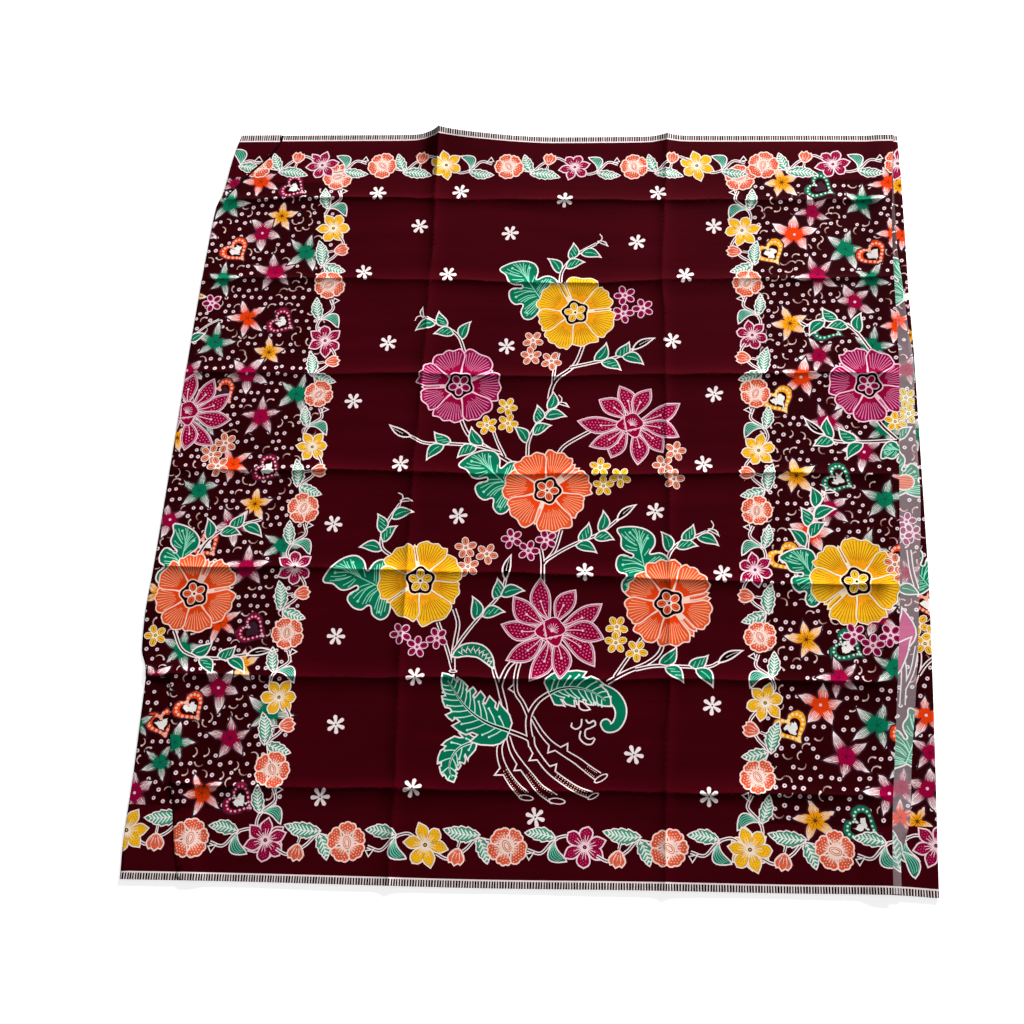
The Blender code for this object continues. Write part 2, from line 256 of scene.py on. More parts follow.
def well_started(outline):
    """The outline begun at an outer corner where it turns left, so that its fill starts inside it."""
    outline = facing_out(outline)
    for way in (1, -1, -1j, 1j):
        index = min(range(len(outline)), key=lambda number: (outline[number] * way).real)
        coming = outline[index] - outline[index - 1]
        going = outline[(index + 1) % len(outline)] - outline[index]
        if (coming.conjugate() * going).imag > 1e-12:
            return outline[index:] + outline[:index]
    return None


def grown(outline, by):
    """The outline with each side moved out by a width, or in where that is negative."""
    result = []
    for index, corner in enumerate(outline):
        before = corner - outline[index - 1]
        after = outline[(index + 1) % len(outline)] - corner
        if abs(before) < 1e-7 or abs(after) < 1e-7:
            result.append(corner)
            continue
        out = -1j * (before / abs(before) + after / abs(after))
        if abs(out) < 1e-3:
            out = before / abs(before)
        out /= abs(out)
        square = -1j * after / abs(after)
        result.append(corner + out * by / max(MITRE, (out * square.conjugate()).real))
    return result


def ribbon(path, width, end_width=None):
    """The outline of a stroke along a path, from its width to its end width."""
    end_width = width if end_width is None else end_width
    last = len(path) - 1
    left, right = [], []
    for index, place in enumerate(path):
        ahead = path[min(index + 1, last)] - path[max(index - 1, 0)]
        side = 1j * ahead / (abs(ahead) or 1.0) * (width + (end_width - width) * index / last) / 2
        left.append(place + side)
        right.append(place - side)
    return right + left[::-1]


def flowing(points, steps=5):
    """A smooth path through the points."""
    ends = [2 * points[0] - points[1]] + list(points) + [2 * points[-1] - points[-2]]
    path = []
    for a, b, c, d in zip(ends, ends[1:], ends[2:], ends[3:]):
        for step in range(steps):
            t = step / steps
            path.append(0.5 * (2 * b + (c - a) * t + (2 * a - 5 * b + 4 * c - d) * t * t
                               + (3 * b - a - 3 * c + d) * t ** 3))
    return path + [points[-1]]


def at_share(path, share):
    """The place and the direction at a share of a path's points."""
    spot = share * (len(path) - 1)
    index = min(int(spot), len(path) - 2)
    step = path[index + 1] - path[index]
    return path[index] + step * (spot - index), step / (abs(step) or 1.0)


def disc(middle, reach, sides=10, turn=0.0, flat=1.0):
    """A round outline, or an oval one where flat isn't 1."""
    angles = [2 * math.pi * side / sides for side in range(sides)]
    return [middle + reach * complex(math.cos(angle), flat * math.sin(angle)) * spin(turn)
            for angle in angles]


def bowed(root, tip, bend, t):
    """The place at a share of a line from root to tip that is bowed to the left."""
    line = tip - root
    return root + line * t + 1j * line * bend * 4 * t * (1 - t)


def midline(root, tip, bend, start, end, steps=5):
    """Part of a bowed line."""
    return [bowed(root, tip, bend, start + (end - start) * step / steps) for step in range(steps + 1)]


def swell(t, full, slim, blunt):
    """Half width of a leaf or petal at a share of its length; full is where it is widest."""
    if t < full:
        return math.sin(math.pi / 2 * t / full) ** slim
    return math.cos(math.pi / 2 * (t - full) / (1 - full)) ** blunt


def leaf(root, tip, width, bend, halves):
    """The outline round a bowed line, from its half widths at even steps."""
    across = 1j * (tip - root) / abs(tip - root) * width / 2
    places = midline(root, tip, bend, 0, 1, len(halves) - 1)
    right = [place - across * half for place, half in zip(places, halves)]
    left = [place + across * half for place, half in zip(places, halves)]
    return right + left[1:-1][::-1]


def almond(root, tip, width, bend=0.0, full=0.42, steps=8, blunt=1.2, slim=0.7):
    """A leaf or petal from root to tip."""
    return leaf(root, tip, width, bend, [swell(step / steps, full, slim, blunt) for step in range(steps + 1)])


def inside(place, outline):
    """Whether a place lies within an outline."""
    within = False
    for a, b in sides_of(outline):
        if (a.imag > place.imag) != (b.imag > place.imag):
            if place.real < a.real + (b.real - a.real) * (place.imag - a.imag) / (b.imag - a.imag):
                within = not within
    return within


class Print:
    """Shapes of ink in the order in which they are drawn."""

    def __init__(self, shapes=()):
        self.shapes = list(shapes)

    def fill(self, outline, colour):
        outline = well_started(outline)
        if outline:
            self.shapes.append((outline, colour))

    def dot(self, at, reach, colour, sides=10, turn=0.0, flat=1.0):
        self.fill(disc(at, reach, sides, turn, flat), colour)

    def line(self, path, width, colour, end_width=None):
        self.fill(ribbon(path, width, end_width), colour)

    def ray(self, at, way, near, far, width, colour, end_width=None):
        """A straight stroke away from a place, between two shares of a way."""
        self.line([at + way * near, at + way * far], width, colour, end_width)

    def stack(self, outline, *coats):
        """The outline in several coats: a width that it grows by and a colour, in turn."""
        outline = facing_out(outline)
        for by, colour in zip(coats[::2], coats[1::2]):
            self.fill(grown(outline, by) if by else outline, colour)

    def edged(self, outline, colour, line=0.0019, edge=WAX):
        self.stack(outline, line / 2, edge, -line / 2, colour)

    def faded(self, pale, share_at):
        """The same print as it shows through from the other side of the cloth, by a share for each height."""
        heights = [sum(place.imag for place in outline) / len(outline) for outline, _ in self.shapes]
        return Print((outline, through(colour, pale, float(share_at(height))))
                     for (outline, colour), height in zip(self.shapes, heights))

    def plainer(self, least):
        """The same print without its shapes thinner than a width, for the side that faces the floor."""
        result = Print()
        for outline, colour in self.shapes:
            sides = sides_of(outline)
            area = abs(sum((start.conjugate() * end).imag for start, end in sides)) / 2
            if 2 * area / sum(abs(end - start) for start, end in sides) > least:
                result.shapes.append((outline, colour))
        return result

    def near(self, low, high):
        """The shapes that reach into a box."""
        for outline, colour in self.shapes:
            least, most = box_of(outline)
            if (most.real > low.real and least.real < high.real
                    and most.imag > low.imag and least.imag < high.imag):
                yield outline, colour


def dotted(art, outline, colour, turn=0.0, pitch=0.0031, reach=0.00058, clear=()):
    """Fine dots over an outline, away from the clear line."""
    low, high = box_of(outline)
    middle = (low + high) / 2
    span = abs(high - low) / 2
    count = int(span / pitch) + 1
    room = grown(facing_out(outline), -1.6 * reach)
    for row in range(-count, count + 1):
        for column in range(-count, count + 1):
            spot = middle + pitch * complex(column + 0.5 * (row % 2), row * 0.87) * spin(turn)
            if abs(spot - middle) > span or not inside(spot, room):
                continue
            if all(abs(spot - place) >= pitch * 0.62 for place in clear):
                art.dot(spot, reach, colour, 5)


# ---- motifs ----


def scatter_flower(art, at, turn):
    """A small white flower of six club-shaped petals round a dark speck."""
    reach = SCATTER_REACH
    club = reach * 0.215
    for petal in range(6):
        way = spin(turn + 60 * petal)
        end = [at + way * (reach - club) + way * spin(angle) * club for angle in range(-100, 101, 40)]
        neck = [at + way * complex(reach * 0.12, side * reach * 0.09) for side in (-1, 1)]
        art.fill([neck[0]] + end + [neck[1]], WAX)
    art.dot(at, reach * 0.22, WAX, 8)
    art.dot(at, reach * 0.10, CORE, 6)


def blossom(art, at, reach, turn, colours, seed=0):
    """Five oval petals with a pale edge, each with a dark rim and a dark slit."""
    dice = random.Random(seed)
    outs = [spin(turn + 72 * petal + dice.uniform(-5, 5)) for petal in range(5)]
    ovals = [disc(at + out * reach * 0.62, reach * 0.345, 10, bearing(out), 0.74) for out in outs]
    for oval in ovals:
        art.stack(oval, 0.0012, colours.edge)
    art.dot(at, reach * 0.34, colours.edge, 8)
    dark = colours.hatch if colours is YELLOWS else CORE
    for oval, out in zip(ovals, outs):
        art.stack(oval, 0, dark, -0.0005, colours.full)
        art.ray(at, out * reach, 0.46, 0.82, 0.0009, dark)
    art.dot(at, reach * 0.15, CORE, 6)
    art.dot(at, reach * 0.08, colours.light, 5)


# (far, share of the width)
PETAL_SIDES = ((0.27, 0.42), (0.44, 0.46), (0.62, 0.49), (0.80, 0.51), (0.91, 0.45))


def broad_petal(at, reach, way, wide, dice):
    """The outline of a broad petal: narrow at the eye, with round shoulders and a wavy rim."""
    waves = dice.choice((1.5, 2.0, 2.5))
    phase = dice.uniform(0, 2 * math.pi)
    lean = dice.uniform(-0.05, 0.05)
    right = [at + reach * far * spin(way - share * wide) for far, share in PETAL_SIDES]
    left = [at + reach * far * spin(way + share * wide) for far, share in PETAL_SIDES]
    rim = []
    for step in range(9):
        t = step / 8
        far = 0.985 + 0.026 * math.sin(2 * math.pi * waves * t + phase) + lean * (t - 0.5)
        rim.append(at + reach * far * spin(way + wide * 0.74 * (t - 0.5)))
    return flowing(right + rim + left[::-1], 2)


def rosette(art, at, reach, turn, colours, seed):
    """A large open flower: broad hatched petals, a few slivers, and a dark lobed eye with a small flower."""
    dice = random.Random(seed)
    count, sliver = 7, 0.17
    widths = [dice.uniform(0.80, 1.20) for _ in range(count)]
    after = {number: dice.choice((1, 2)) for number in dice.sample(range(count), 2)}
    total = sum(widths) + sliver * sum(after.values())
    angle = turn
    broad, narrow = [], []
    for number, width in enumerate(widths):
        for share, found in [(width, broad)] + [(sliver, narrow)] * after.get(number, 0):
            wide = 360 * share / total
            found.append((angle + wide / 2, wide))
            angle += wide
    for way, _ in narrow:
        root = at + reach * PETAL_SIDES[0][0] * spin(way)
        tip = at + reach * dice.uniform(0.88, 0.98) * spin(way)
        art.edged(almond(root, tip, reach * 0.16, full=0.72, blunt=0.6), colours.full, 0.0016, colours.edge)
        art.line([root + (tip - root) * 0.35, tip - (tip - root) * 0.12], 0.0009, colours.hatch)
    dice.shuffle(broad)
    art.dot(at, reach * 0.50, colours.edge, 16)
    body = Fade(at, colours.deep, colours.full, 0.42 * reach, 0.74 * reach)
    coats, hatch_width = (-0.0009, body), 0.0012
    if colours is YELLOWS:
        coats, hatch_width = (-0.0009, colours.hatch, -0.0014, body), 0.0007
    for way, wide in broad:
        far = reach * dice.uniform(0.95, 1.07)
        art.stack(broad_petal(at, far, way, wide * 1.06, dice), 0.0009, colours.edge, *coats)
        lines = max(4, round(math.radians(wide) * far / 0.0049))
        for number in range(lines):
            share = (number + 0.5) / lines - 0.5
            inner = 0.50 + 0.08 * dice.random() - 0.06 * math.cos(math.pi * share)
            edge = 0.95 - 0.11 * abs(2 * share) ** 3
            stroke = [at + far * (edge + (inner - edge) * t)
                      * spin(way + wide * 0.94 * share * (1 - 0.22 * t))
                      for t in (0.0, 0.5, 1.0)]
            art.line(stroke, hatch_width, colours.hatch, 0.0005)
    eye = [at + reach * (0.322 + 0.034 * math.cos(math.radians(50 * step))) * spin(turn + 20 + 10 * step)
           for step in range(36)]
    art.stack(eye, 0.0016, colours.edge, 0, CORE)
    small = reach * 0.28
    ways = [turn + 72 * petal + 20 for petal in range(5)]
    ovals = [disc(at + spin(way) * small * 0.60, small * 0.40, 12, way, 0.84) for way in ways]
    for oval in ovals:
        art.stack(oval, 0.0003, colours.edge)
    for oval, way in zip(ovals, ways):
        art.stack(oval, -0.0009, CORE, -0.0014, colours.full)
        art.ray(at, spin(way) * small, 0.46, 0.80, 0.0009, CORE)
    art.dot(at, small * 0.24, colours.edge, 8)
    art.dot(at, small * 0.12, CORE, 6)


def lotus(art, at, reach, turn, seed, stretch=0.0):
    """A pointed flower: dotted magenta petals inside two white lines, round a half-open bud."""
    dice = random.Random(seed)
    petals = 10
    for number in sorted(range(petals), key=lambda number: number % 2):
        angle = turn + 360 * number / petals + dice.uniform(-4, 4)
        length = reach * dice.uniform(0.90, 1.08) * (1 + stretch * math.cos(2 * math.radians(angle)))
        bend = dice.choice((-1, 1)) * dice.uniform(0.06, 0.13)
        root = at + reach * 0.16 * spin(angle)
        tip = at + length * spin(angle + dice.uniform(-7, 7))
        width = reach * 0.39 * dice.uniform(0.90, 1.05)
        outline = facing_out(almond(root, tip, width, bend, 0.58, 10, 0.95, 1.15))
        art.stack(outline, 0.0010, PINK_WAX, -0.0008, CORE, -0.0016, PINK_WAX, -0.0023, MAGENTAS.deep)
        line = midline(root, tip, bend, 0.04, 0.50)
        dotted(art, grown(outline, -0.0023), ROSE, bearing(tip - root), 0.0045, 0.00092, line)
        art.line(line, 0.0013, PINK_WAX, 0.0010)
        art.dot(line[-1], 0.0017, PINK_WAX, 7)
    way = spin(turn + 30)
    eye = [at + reach * (0.235 + 0.016 * math.cos(math.radians(70 * step))) * spin(15 * step)
           for step in range(24)]
    art.stack(eye, 0.0011, PINK_WAX, 0, CORE, -0.0009, MAGENTAS.deep)
    for side in (1, -1):
        tip = at + way * 1j * side * reach * 0.21 + way * reach * 0.05
        cup = almond(at - way * reach * 0.21, tip, reach * 0.20, side * 0.30, 0.5)
        art.edged(cup, MAGENTAS.deep, 0.0014, PINK_WAX)
        for stroke in range(5):
            root, _ = at_share([at - way * reach * 0.16, at + way * 1j * side * reach * 0.19],
                               0.2 + 0.16 * stroke)
            down = way * spin(side * 14) * reach * (0.06 + 0.02 * (stroke % 3))
            art.line([root, root - down], 0.0009, PINK_WAX, 0.0006)
    fan = at - way * reach * 0.02
    for stroke in range(-4, 5):
        art.ray(fan, way * spin(stroke * 19) * reach, 0, 0.17 - 0.012 * abs(stroke), 0.0009, PINK_WAX, 0.0006)
    art.dot(fan, 0.0016, PINK_WAX, 7)


# in hundredths of the leaf's length and breadth
LOBES = pairs(100, 0, -2, -5, -20, -5, -40, 3, -53, 17, -54, 27, -46, 32, -31, 37, -31, 44, -47, 58, -55,
              75, -48, 90, -30, 100, -6, 97, 2, 84, 2, 70, 11, 58, 8, 47, -1, 43, 6, 54, 16, 56, 28, 45, 40,
              32, 42, 24, 33, 18, 34, 13, 48, 0, 55, -10, 46, -11, 26, -5, 8)
LOBE_VEINS = ((0, 0, 20, -7, 42, -15, 62, -22, 84, -18), (8, -3, 7, -22, 10, -42),
              (42, -15, 52, -28, 60, -42), (20, -6, 32, 6, 40, 28), (2, 0, 3, 18, 4, 42))
LOBE_HAIRS = (
    (2, -12, 0, -34), (14, -10, 16, -32, 18, -46), (21, -12, 24, -36), (36, -18, 42, -34),
    (50, -20, 64, -32, 70, -42), (58, -23, 72, -32, 80, -36), (66, -24, 78, -27, 88, -26),
    (58, -16, 70, -10, 82, -6), (52, -13, 60, -4, 68, 3), (66, -17, 78, -12, 90, -10),
    (24, -4, 38, 8, 48, 24), (16, -1, 26, 12, 32, 32), (12, 0, 19, 13, 22, 26), (7, 3, 10, 20, 12, 38),
    (-1, 7, -4, 24, -4, 40), (4.5, -5, 3, -22, 4, -46), (11.5, -6, 12.5, -26, 14, -49),
    (17.5, -9, 20, -28, 21.5, -44), (46, -17, 57, -30, 65, -47), (54, -21, 67, -31, 75.5, -43),
    (62, -22, 74, -29, 86, -31), (60, -14, 74, -6, 90, -2), (50, -11, 56, 0, 60, 5), (27, -7, 42, 2, 53, 19),
    (13.5, 2, 22.5, 14, 27, 31), (4.5, 5, 7.5, 22, 7.5, 46), (0, 2, -0.5, 22, 0.5, 48))


def lobed_leaf(art, root, tip, side=1, broad=0.86):
    """A broad leaf of round lobes, with club-ended mint veins and fine lines between them."""
    run = tip - root
    cross = 1j * side * run * broad

    def laid(places):
        return flowing([root + run * place.real + cross * place.imag for place in places], 3)

    art.stack(laid(LOBES + LOBES[:1])[:-1], 0.0012, WAX, -0.0008, HALO, -0.0013, TEAL)
    for hair in LOBE_HAIRS:
        art.line(laid(pairs(100, *hair)), 0.0010, MINT, 0.0011)
    for vein in LOBE_VEINS:
        path = laid(pairs(100, *vein))
        art.line(path, 0.0015, MINT, 0.0012)
        art.dot(path[-1], 0.0020, MINT, 7)


def plain_leaf(art, root, tip, width, bend=0.0, veins=1):
    """A smooth teal leaf with one light midrib, or with a few slanting veins."""
    art.stack(almond(root, tip, width, bend, 0.40), 0.0009, WAX, -0.0009, CORE, -0.0013, TEAL)
    if veins <= 1:
        art.line(midline(root, tip, bend, 0.20, 0.78), 0.0010, MINT, 0.0005)
        return
    for vein in range(veins):
        middle = bowed(root, tip, bend, 0.22 + 0.46 * vein / (veins - 1))
        slant = (tip - root) / abs(tip - root) * spin(38) * width * 0.36
        art.line([middle - slant, middle + slant], 0.0010, MINT, 0.0006)


def toothed_leaf(art, root, tip, width, bend=0.0, teeth=5, veins=7):
    """A pale leaf of the vine, with teeth that point to the tip and feathered veins."""
    steps = teeth * 4
    halves = []
    for step in range(steps + 1):
        saw = (step / steps * teeth) % 1.0
        tooth = 1 - 0.22 * (1 - saw) ** 1.5 if 0 < step < steps else 1.0
        halves.append(swell(step / steps, 0.45, 0.75, 0.9) * tooth)
    outline = leaf(root, tip, width, bend, halves)
    art.stack(outline, 0.0010, WAX, -0.0006, DEEP_TEAL, -0.0013, ink(74, 150, 124))
    way = (tip - root) / abs(tip - root)
    for vein in range(veins):
        t = 0.10 + 0.72 * vein / (veins - 1)
        middle = bowed(root, tip, bend, t)
        for side in (1, -1):
            out = way * spin(side * 48) * width * 0.42 * swell(t, 0.45, 0.75, 0.9)
            art.line([middle, middle + out], 0.0020, ink(226, 240, 228), 0.0012)
    art.line(midline(root, tip, bend, 0.0, 0.84), 0.0013, WAX, 0.0006)


def rib_half(share, full, base):
    """Half width of a large leaf at a share of its rib."""
    share = min(1.0, max(0.0, share))
    half = swell(share, full, 0.6, 0.75)
    return base + (1 - base) * half if share < full else half


def rib_outline(rib, width, full, cuts, seed, base, depth=0.30):
    """A leaf outline round a bent midrib, with pointed uneven teeth that lean to the tip."""
    dice = random.Random(seed)

    def edge(share, side, far):
        place, way = at_share(rib, min(1.0, max(0.0, share)))
        return place + 1j * way * side * width / 2 * rib_half(share, full, base) * far

    sides = []
    for side in (1, -1):
        outline = []
        teeth = cuts + (0 if side > 0 else 1)
        marks = [0.0] + [(number + dice.uniform(-0.22, 0.22)) / teeth for number in range(1, teeth)] + [1.0]
        for low, high in zip(marks, marks[1:]):
            span = high - low
            deep = depth * dice.uniform(0.7, 1.3) if low > 0 else 0.0
            for share, far in ((low - 0.01, 1 - deep), (low + 0.04, 1 - 0.9 * deep),
                               (low + 0.36 * span, 1 - 0.25 * deep), (low + 0.74 * span, 1.0),
                               (low + 1.06 * span, 1.05)):
                outline.append(edge(share, side, far))
        sides.append(outline[:-1])
    return sides[1] + [rib[-1]] + sides[0][::-1]


def rib_leaf(art, points, width, full, cuts, seed, veins, base, core):
    """A large toothed leaf: teal, with a dark midrib between pale lines and club-ended mint veins."""
    rib = flowing(points, 6)
    dice = random.Random(seed)
    art.stack(rib_outline(rib, width, full, cuts, seed, base), 0.0012, WAX, -0.0007, TEAL)
    for side in (1, -1):
        for vein in range(veins):
            share = max(0.03, 0.05 + 0.80 * (vein + dice.uniform(-0.15, 0.15)) / (veins - 1))
            place, way = at_share(rib, share)
            reach = width / 2 * rib_half(share, full, base) * dice.uniform(0.66, 0.82)
            out = way * spin(side * 52) * reach
            start = place + 1j * way * side * core * 0.7
            tip = start + out + way * reach * 0.12
            art.line([start, start + out * 0.5, tip], 0.0012, PALE_MINT, 0.0017)
            art.dot(tip, 0.0016, PALE_MINT, 6)
    count = round(0.90 * (len(rib) - 1)) + 1
    art.line(rib[:count], core + 0.0028, PALE_MINT, 0.0012)
    art.line(rib[:count], core, CORE, 0.0005)


def feathered_leaf(art, points, width):
    """A smooth teal leaf on a bent midrib, with a row of short white strokes along it."""
    rib = flowing(points, 6)
    left, right = [], []
    for step in range(1, 14):
        place, way = at_share(rib, step / 14)
        half = width / 2 * math.sin(math.pi * (step / 14) ** 0.8) ** 0.7
        left.append(place + 1j * way * half)
        right.append(place - 1j * way * half)
    art.stack([rib[0]] + right + [rib[-1]] + left[::-1], 0.0011, WAX, -0.0008, TEAL)
    for stroke in range(17):
        place, way = at_share(rib, 0.14 + 0.72 * stroke / 16)
        out = way * spin(62 if stroke % 2 else -62) * width * 0.30
        art.line([place - out * 0.35, place + out], 0.0013, WAX, 0.0007)


def banana_leaf(art, root, tip, width, bend):
    """A smooth curved leaf with pale lines along it."""
    art.stack(almond(root, tip, width, bend, 0.62, 10, 0.7, 0.9), 0.0010, WAX, -0.0007, CORE,
              -0.0011, ink(22, 112, 92))
    across = 1j * (tip - root) / abs(tip - root)
    for lane in (-0.26, -0.06, 0.14, 0.32):
        path = []
        for step in range(7):
            t = 0.10 + 0.74 * step / 6
            swing = width * lane * math.sin(math.pi * t ** 1.3) ** 0.6
            path.append(bowed(root, tip, bend, t) + across * swing)
        art.line(path, 0.0010, ink(136, 204, 178), 0.0006)


def vine_flower(art, at, reach, turn, colours, seed=0):
    """Six petals with dots, some of them pointed, and white rays round a small dark middle."""
    dice = random.Random(seed)
    yellow = colours is YELLOWS
    rim = mixed(colours.edge, WAX, 0.35)
    outs, shapes = [], []
    for petal in range(6):
        out = spin(turn + 60 * petal + dice.uniform(-6, 6))
        pointed = petal % 3 == seed % 3 or dice.random() < 0.3
        wide, full, blunt = (0.56, 0.58, 1.15) if pointed else (0.60, 0.66, 0.6)
        length = reach * dice.uniform(0.90, 1.00) * (1.10 if pointed else 1.0)
        outs.append(out)
        shapes.append(facing_out(almond(at + out * reach * 0.06, at + out * length, reach * wide,
                                        dice.uniform(-0.06, 0.06), full, 8, blunt, 0.9)))
    for shape in shapes:
        art.stack(shape, 0.0010, rim)
    for shape, out in zip(shapes, outs):
        art.stack(shape, -0.0008, BROWN if yellow else CORE,
                  -0.0012, colours.full if yellow else colours.deep)
        rays = [at + out * reach * 0.03 * step for step in range(17)]
        dots = ink(196, 116, 20) if yellow else colours.light
        dotted(art, grown(shape, -0.0012), dots, bearing(out), 0.0034, 0.00068, rays)
    for out in outs:
        for side, far in ((-22, 0.36), (-8, 0.54), (8, 0.54), (22, 0.36)):
            art.ray(at, out * spin(side) * reach, 0.10, far, 0.0014, rim, 0.0006)
    art.dot(at, reach * 0.16, rim, 8)
    art.dot(at, reach * 0.10, CORE, 6)
    art.dot(at, reach * 0.04, colours.light, 5)


def peony(art, at, reach, turn, seed):
    """A frilly salmon flower of five dotted petals round a pale middle with a curled lip."""
    dice = random.Random(seed)
    edge = SALMONS.edge
    widths = [dice.uniform(0.75, 1.25) for _ in range(5)]
    angle = turn
    petals = []
    for width in widths:
        wide = 360 * width / sum(widths)
        petals.append((angle + wide / 2, wide * 1.04, reach * dice.uniform(0.92, 1.06)))
        angle += wide
    dice.shuffle(petals)
    for way, wide, far in petals:
        outline = [at + far * 0.30 * spin(way - 0.2 * wide)]
        for step in range(13):
            t = step / 12
            frill = 0.95 - 0.15 * abs(2 * t - 1) ** 3 + 0.07 * abs(math.sin(math.pi * 3 * t))
            outline.append(at + far * frill * spin(way + wide * (t - 0.5)))
        outline = facing_out(outline + [at + far * 0.30 * spin(way + 0.2 * wide)])
        art.stack(outline, 0.0009, edge,
                  -0.0009, Fade(at, ink(232, 150, 118), ink(216, 84, 54), 0.36 * reach, 0.66 * reach))
        dotted(art, grown(outline, -0.0009), edge, way, 0.0036, 0.00072)
        strokes = max(3, round(wide / 17))
        for number in range(strokes):
            ray = spin(way + wide * 0.86 * ((number + 0.5) / strokes - 0.5))
            art.ray(at, ray * reach, 0.34, dice.uniform(0.54, 0.68), 0.0013, edge, 0.0005)
    art.fill([at + reach * (0.46 if step % 2 else 0.37) * spin(turn + 12 * step) for step in range(30)], edge)
    way = spin(turn + 40)
    art.dot(at, reach * 0.34, ink(200, 96, 66), 12, turn + 40, 0.62)
    art.dot(at, reach * 0.34 - 0.0011, edge, 12, turn + 40, 0.60)
    for side in (1, -1):
        lip = [at + way * reach * complex(x, side * 0.03 + y * side) for x, y in
               ((-0.22, 0.0), (-0.08, 0.07), (0.10, 0.06), (0.22, -0.02))]
        art.line(flowing(lip, 3), 0.0013, ink(196, 104, 62), 0.0008)


def bud(art, root, tip, width):
    """A small opening salmon bud: three joined petals with fan lines, on a thin calyx."""
    line = tip - root
    way = line / abs(line)
    petals = []
    for side, far in ((-1, 0.90), (1, 0.90), (0, 1.0)):
        end = root + line * far + 1j * way * width * 0.34 * side
        petals.append(almond(root + line * 0.10, end, width * 0.52, 0.0, 0.66, 6, 0.8))
    for petal in petals:
        art.stack(petal, 0.0009, SALMONS.edge)
    for petal in petals:
        art.stack(petal, -0.0004, SALMONS.edge, -0.0008, ink(214, 92, 66))
    for number in range(-2, 3):
        out = way * spin(number * 17)
        art.ray(root, out * abs(line), 0.34, 0.66, 0.0008, SALMONS.edge, 0.0004)
        art.dot(root + out * spin(5) * abs(line) * 0.78, 0.0005, SALMONS.light, 5)


StarKind = namedtuple("StarKind", "full wide far")
STAR_KINDS = {"yellow": StarKind(0.48, 0.42, 0.95), "dot": StarKind(0.52, 0.42, 0.72),
              "plain": StarKind(0.44, 0.37, 0.80)}


def star(art, at, reach, turn, colours, seed, kind):
    """A starflower of the side grounds: five uneven petals, white at their streaked tips."""
    dice = random.Random(seed)
    full, wide, far = STAR_KINDS[kind]
    petals = []
    for petal in range(5):
        angle = turn + 72 * petal + dice.uniform(-9, 9)
        length = reach * dice.uniform(0.84, 1.12)
        root = at - spin(angle) * reach * 0.06
        tip = at + length * spin(angle)
        bend = dice.uniform(-0.07, 0.07)
        outline = almond(root, tip, reach * wide * dice.uniform(0.9, 1.1), bend, full, 8, 1.05, 0.5)
        rough = [place + complex(dice.gauss(0, 0.00045), dice.gauss(0, 0.00045)) for place in outline]
        petals.append((root, tip, bend, rough))
    for _, _, _, outline in petals:
        art.stack(outline, 0.0019, HALO)
    body = Fade(at, colours.deep, WAX, 0.42 * reach, min(1.0, 1.2 * far) * reach)
    for root, tip, bend, outline in petals:
        art.stack(outline, 0, body)
        across = 1j * (tip - root) / abs(tip - root) * reach * wide
        streaks = [(lane, 0.90 - abs(lane), 0.40, 0.0006, CREAM if kind == "yellow" else WAX, 0.0013)
                   for lane in (-0.27, -0.09, 0.09, 0.27)]
        streaks += [(lane, 0.80, 0.26, 0.0013, colours.deep, 0.0004) for lane in (-0.18, 0.0, 0.18)]
        for lane, high, low, width, colour, end_width in streaks:
            outer = bowed(root, tip, bend, high) + across * lane * 0.7
            inner = bowed(root, tip, bend, low) + across * lane * 0.8
            art.line([inner, outer], width, colour, end_width)
    if kind == "dot":
        art.dot(at, reach * 0.26, colours.deep, 9)
        art.dot(at, 0.0020, PINK_WAX, 7)
        return
    for petal in range(5):
        out = spin(turn + 36 + 72 * petal)
        if kind == "yellow":
            art.ray(at, out * reach, 0, 0.24, 0.0014, ink(70, 36, 14), 0.0005)
            art.ray(at, out * spin(36) * reach, 0, 0.46, 0.0008, BROWN, 0.0004)
        else:
            art.ray(at, out * reach, 0, 0.22, 0.0012, mixed(colours.deep, CORE, 0.6), 0.0005)


def heart_shape(at, reach, turn, rough=0.0, dice=None):
    """A heart's outline."""
    result = []
    for step in range(26):
        t = 2 * math.pi * step / 26
        y = (13 * math.cos(t) - 5 * math.cos(2 * t) - 2 * math.cos(3 * t) - math.cos(4 * t)) / 16
        place = at + reach * complex(math.sin(t) ** 3, y + 0.12) * spin(turn)
        if rough:
            place += complex(dice.gauss(0, rough), dice.gauss(0, rough))
        result.append(place)
    return facing_out(result)


def beaded_heart(art, at, reach, turn, colours, seed):
    """A heart of the side grounds: a coloured band with pale beads round a white core."""
    dice = random.Random(seed)
    hole, bead, pale = (0.60, 0.0021, 0.25) if colours in (ORANGES, YELLOWS) else (0.66, 0.0015, 0.55)
    art.stack(heart_shape(at, reach, turn, 0.0006, dice), 0.0018, HALO, 0, colours.deep)
    art.fill(heart_shape(at, reach * hole, turn), SIDE_GROUND)
    art.stack(heart_shape(at, reach * 0.40, turn, 0.0014, dice), 0.0010, HALO, 0, ink(236, 230, 226))
    for place in heart_shape(at, reach * 0.80, turn):
        art.dot(place, bead, mixed(colours.light, WAX, pale), 7)


def dot_ring(art, at, dice):
    """A small white ring."""
    reach = dice.uniform(0.0025, 0.0031)
    turn = dice.uniform(0, 60)
    art.dot(at, reach + 0.0007, HALO, 8, turn, 0.92)
    art.dot(at, reach, ink(232, 206, 212), 8, turn, 0.92)
    art.dot(at, reach * 0.36, CORE, 5, turn)


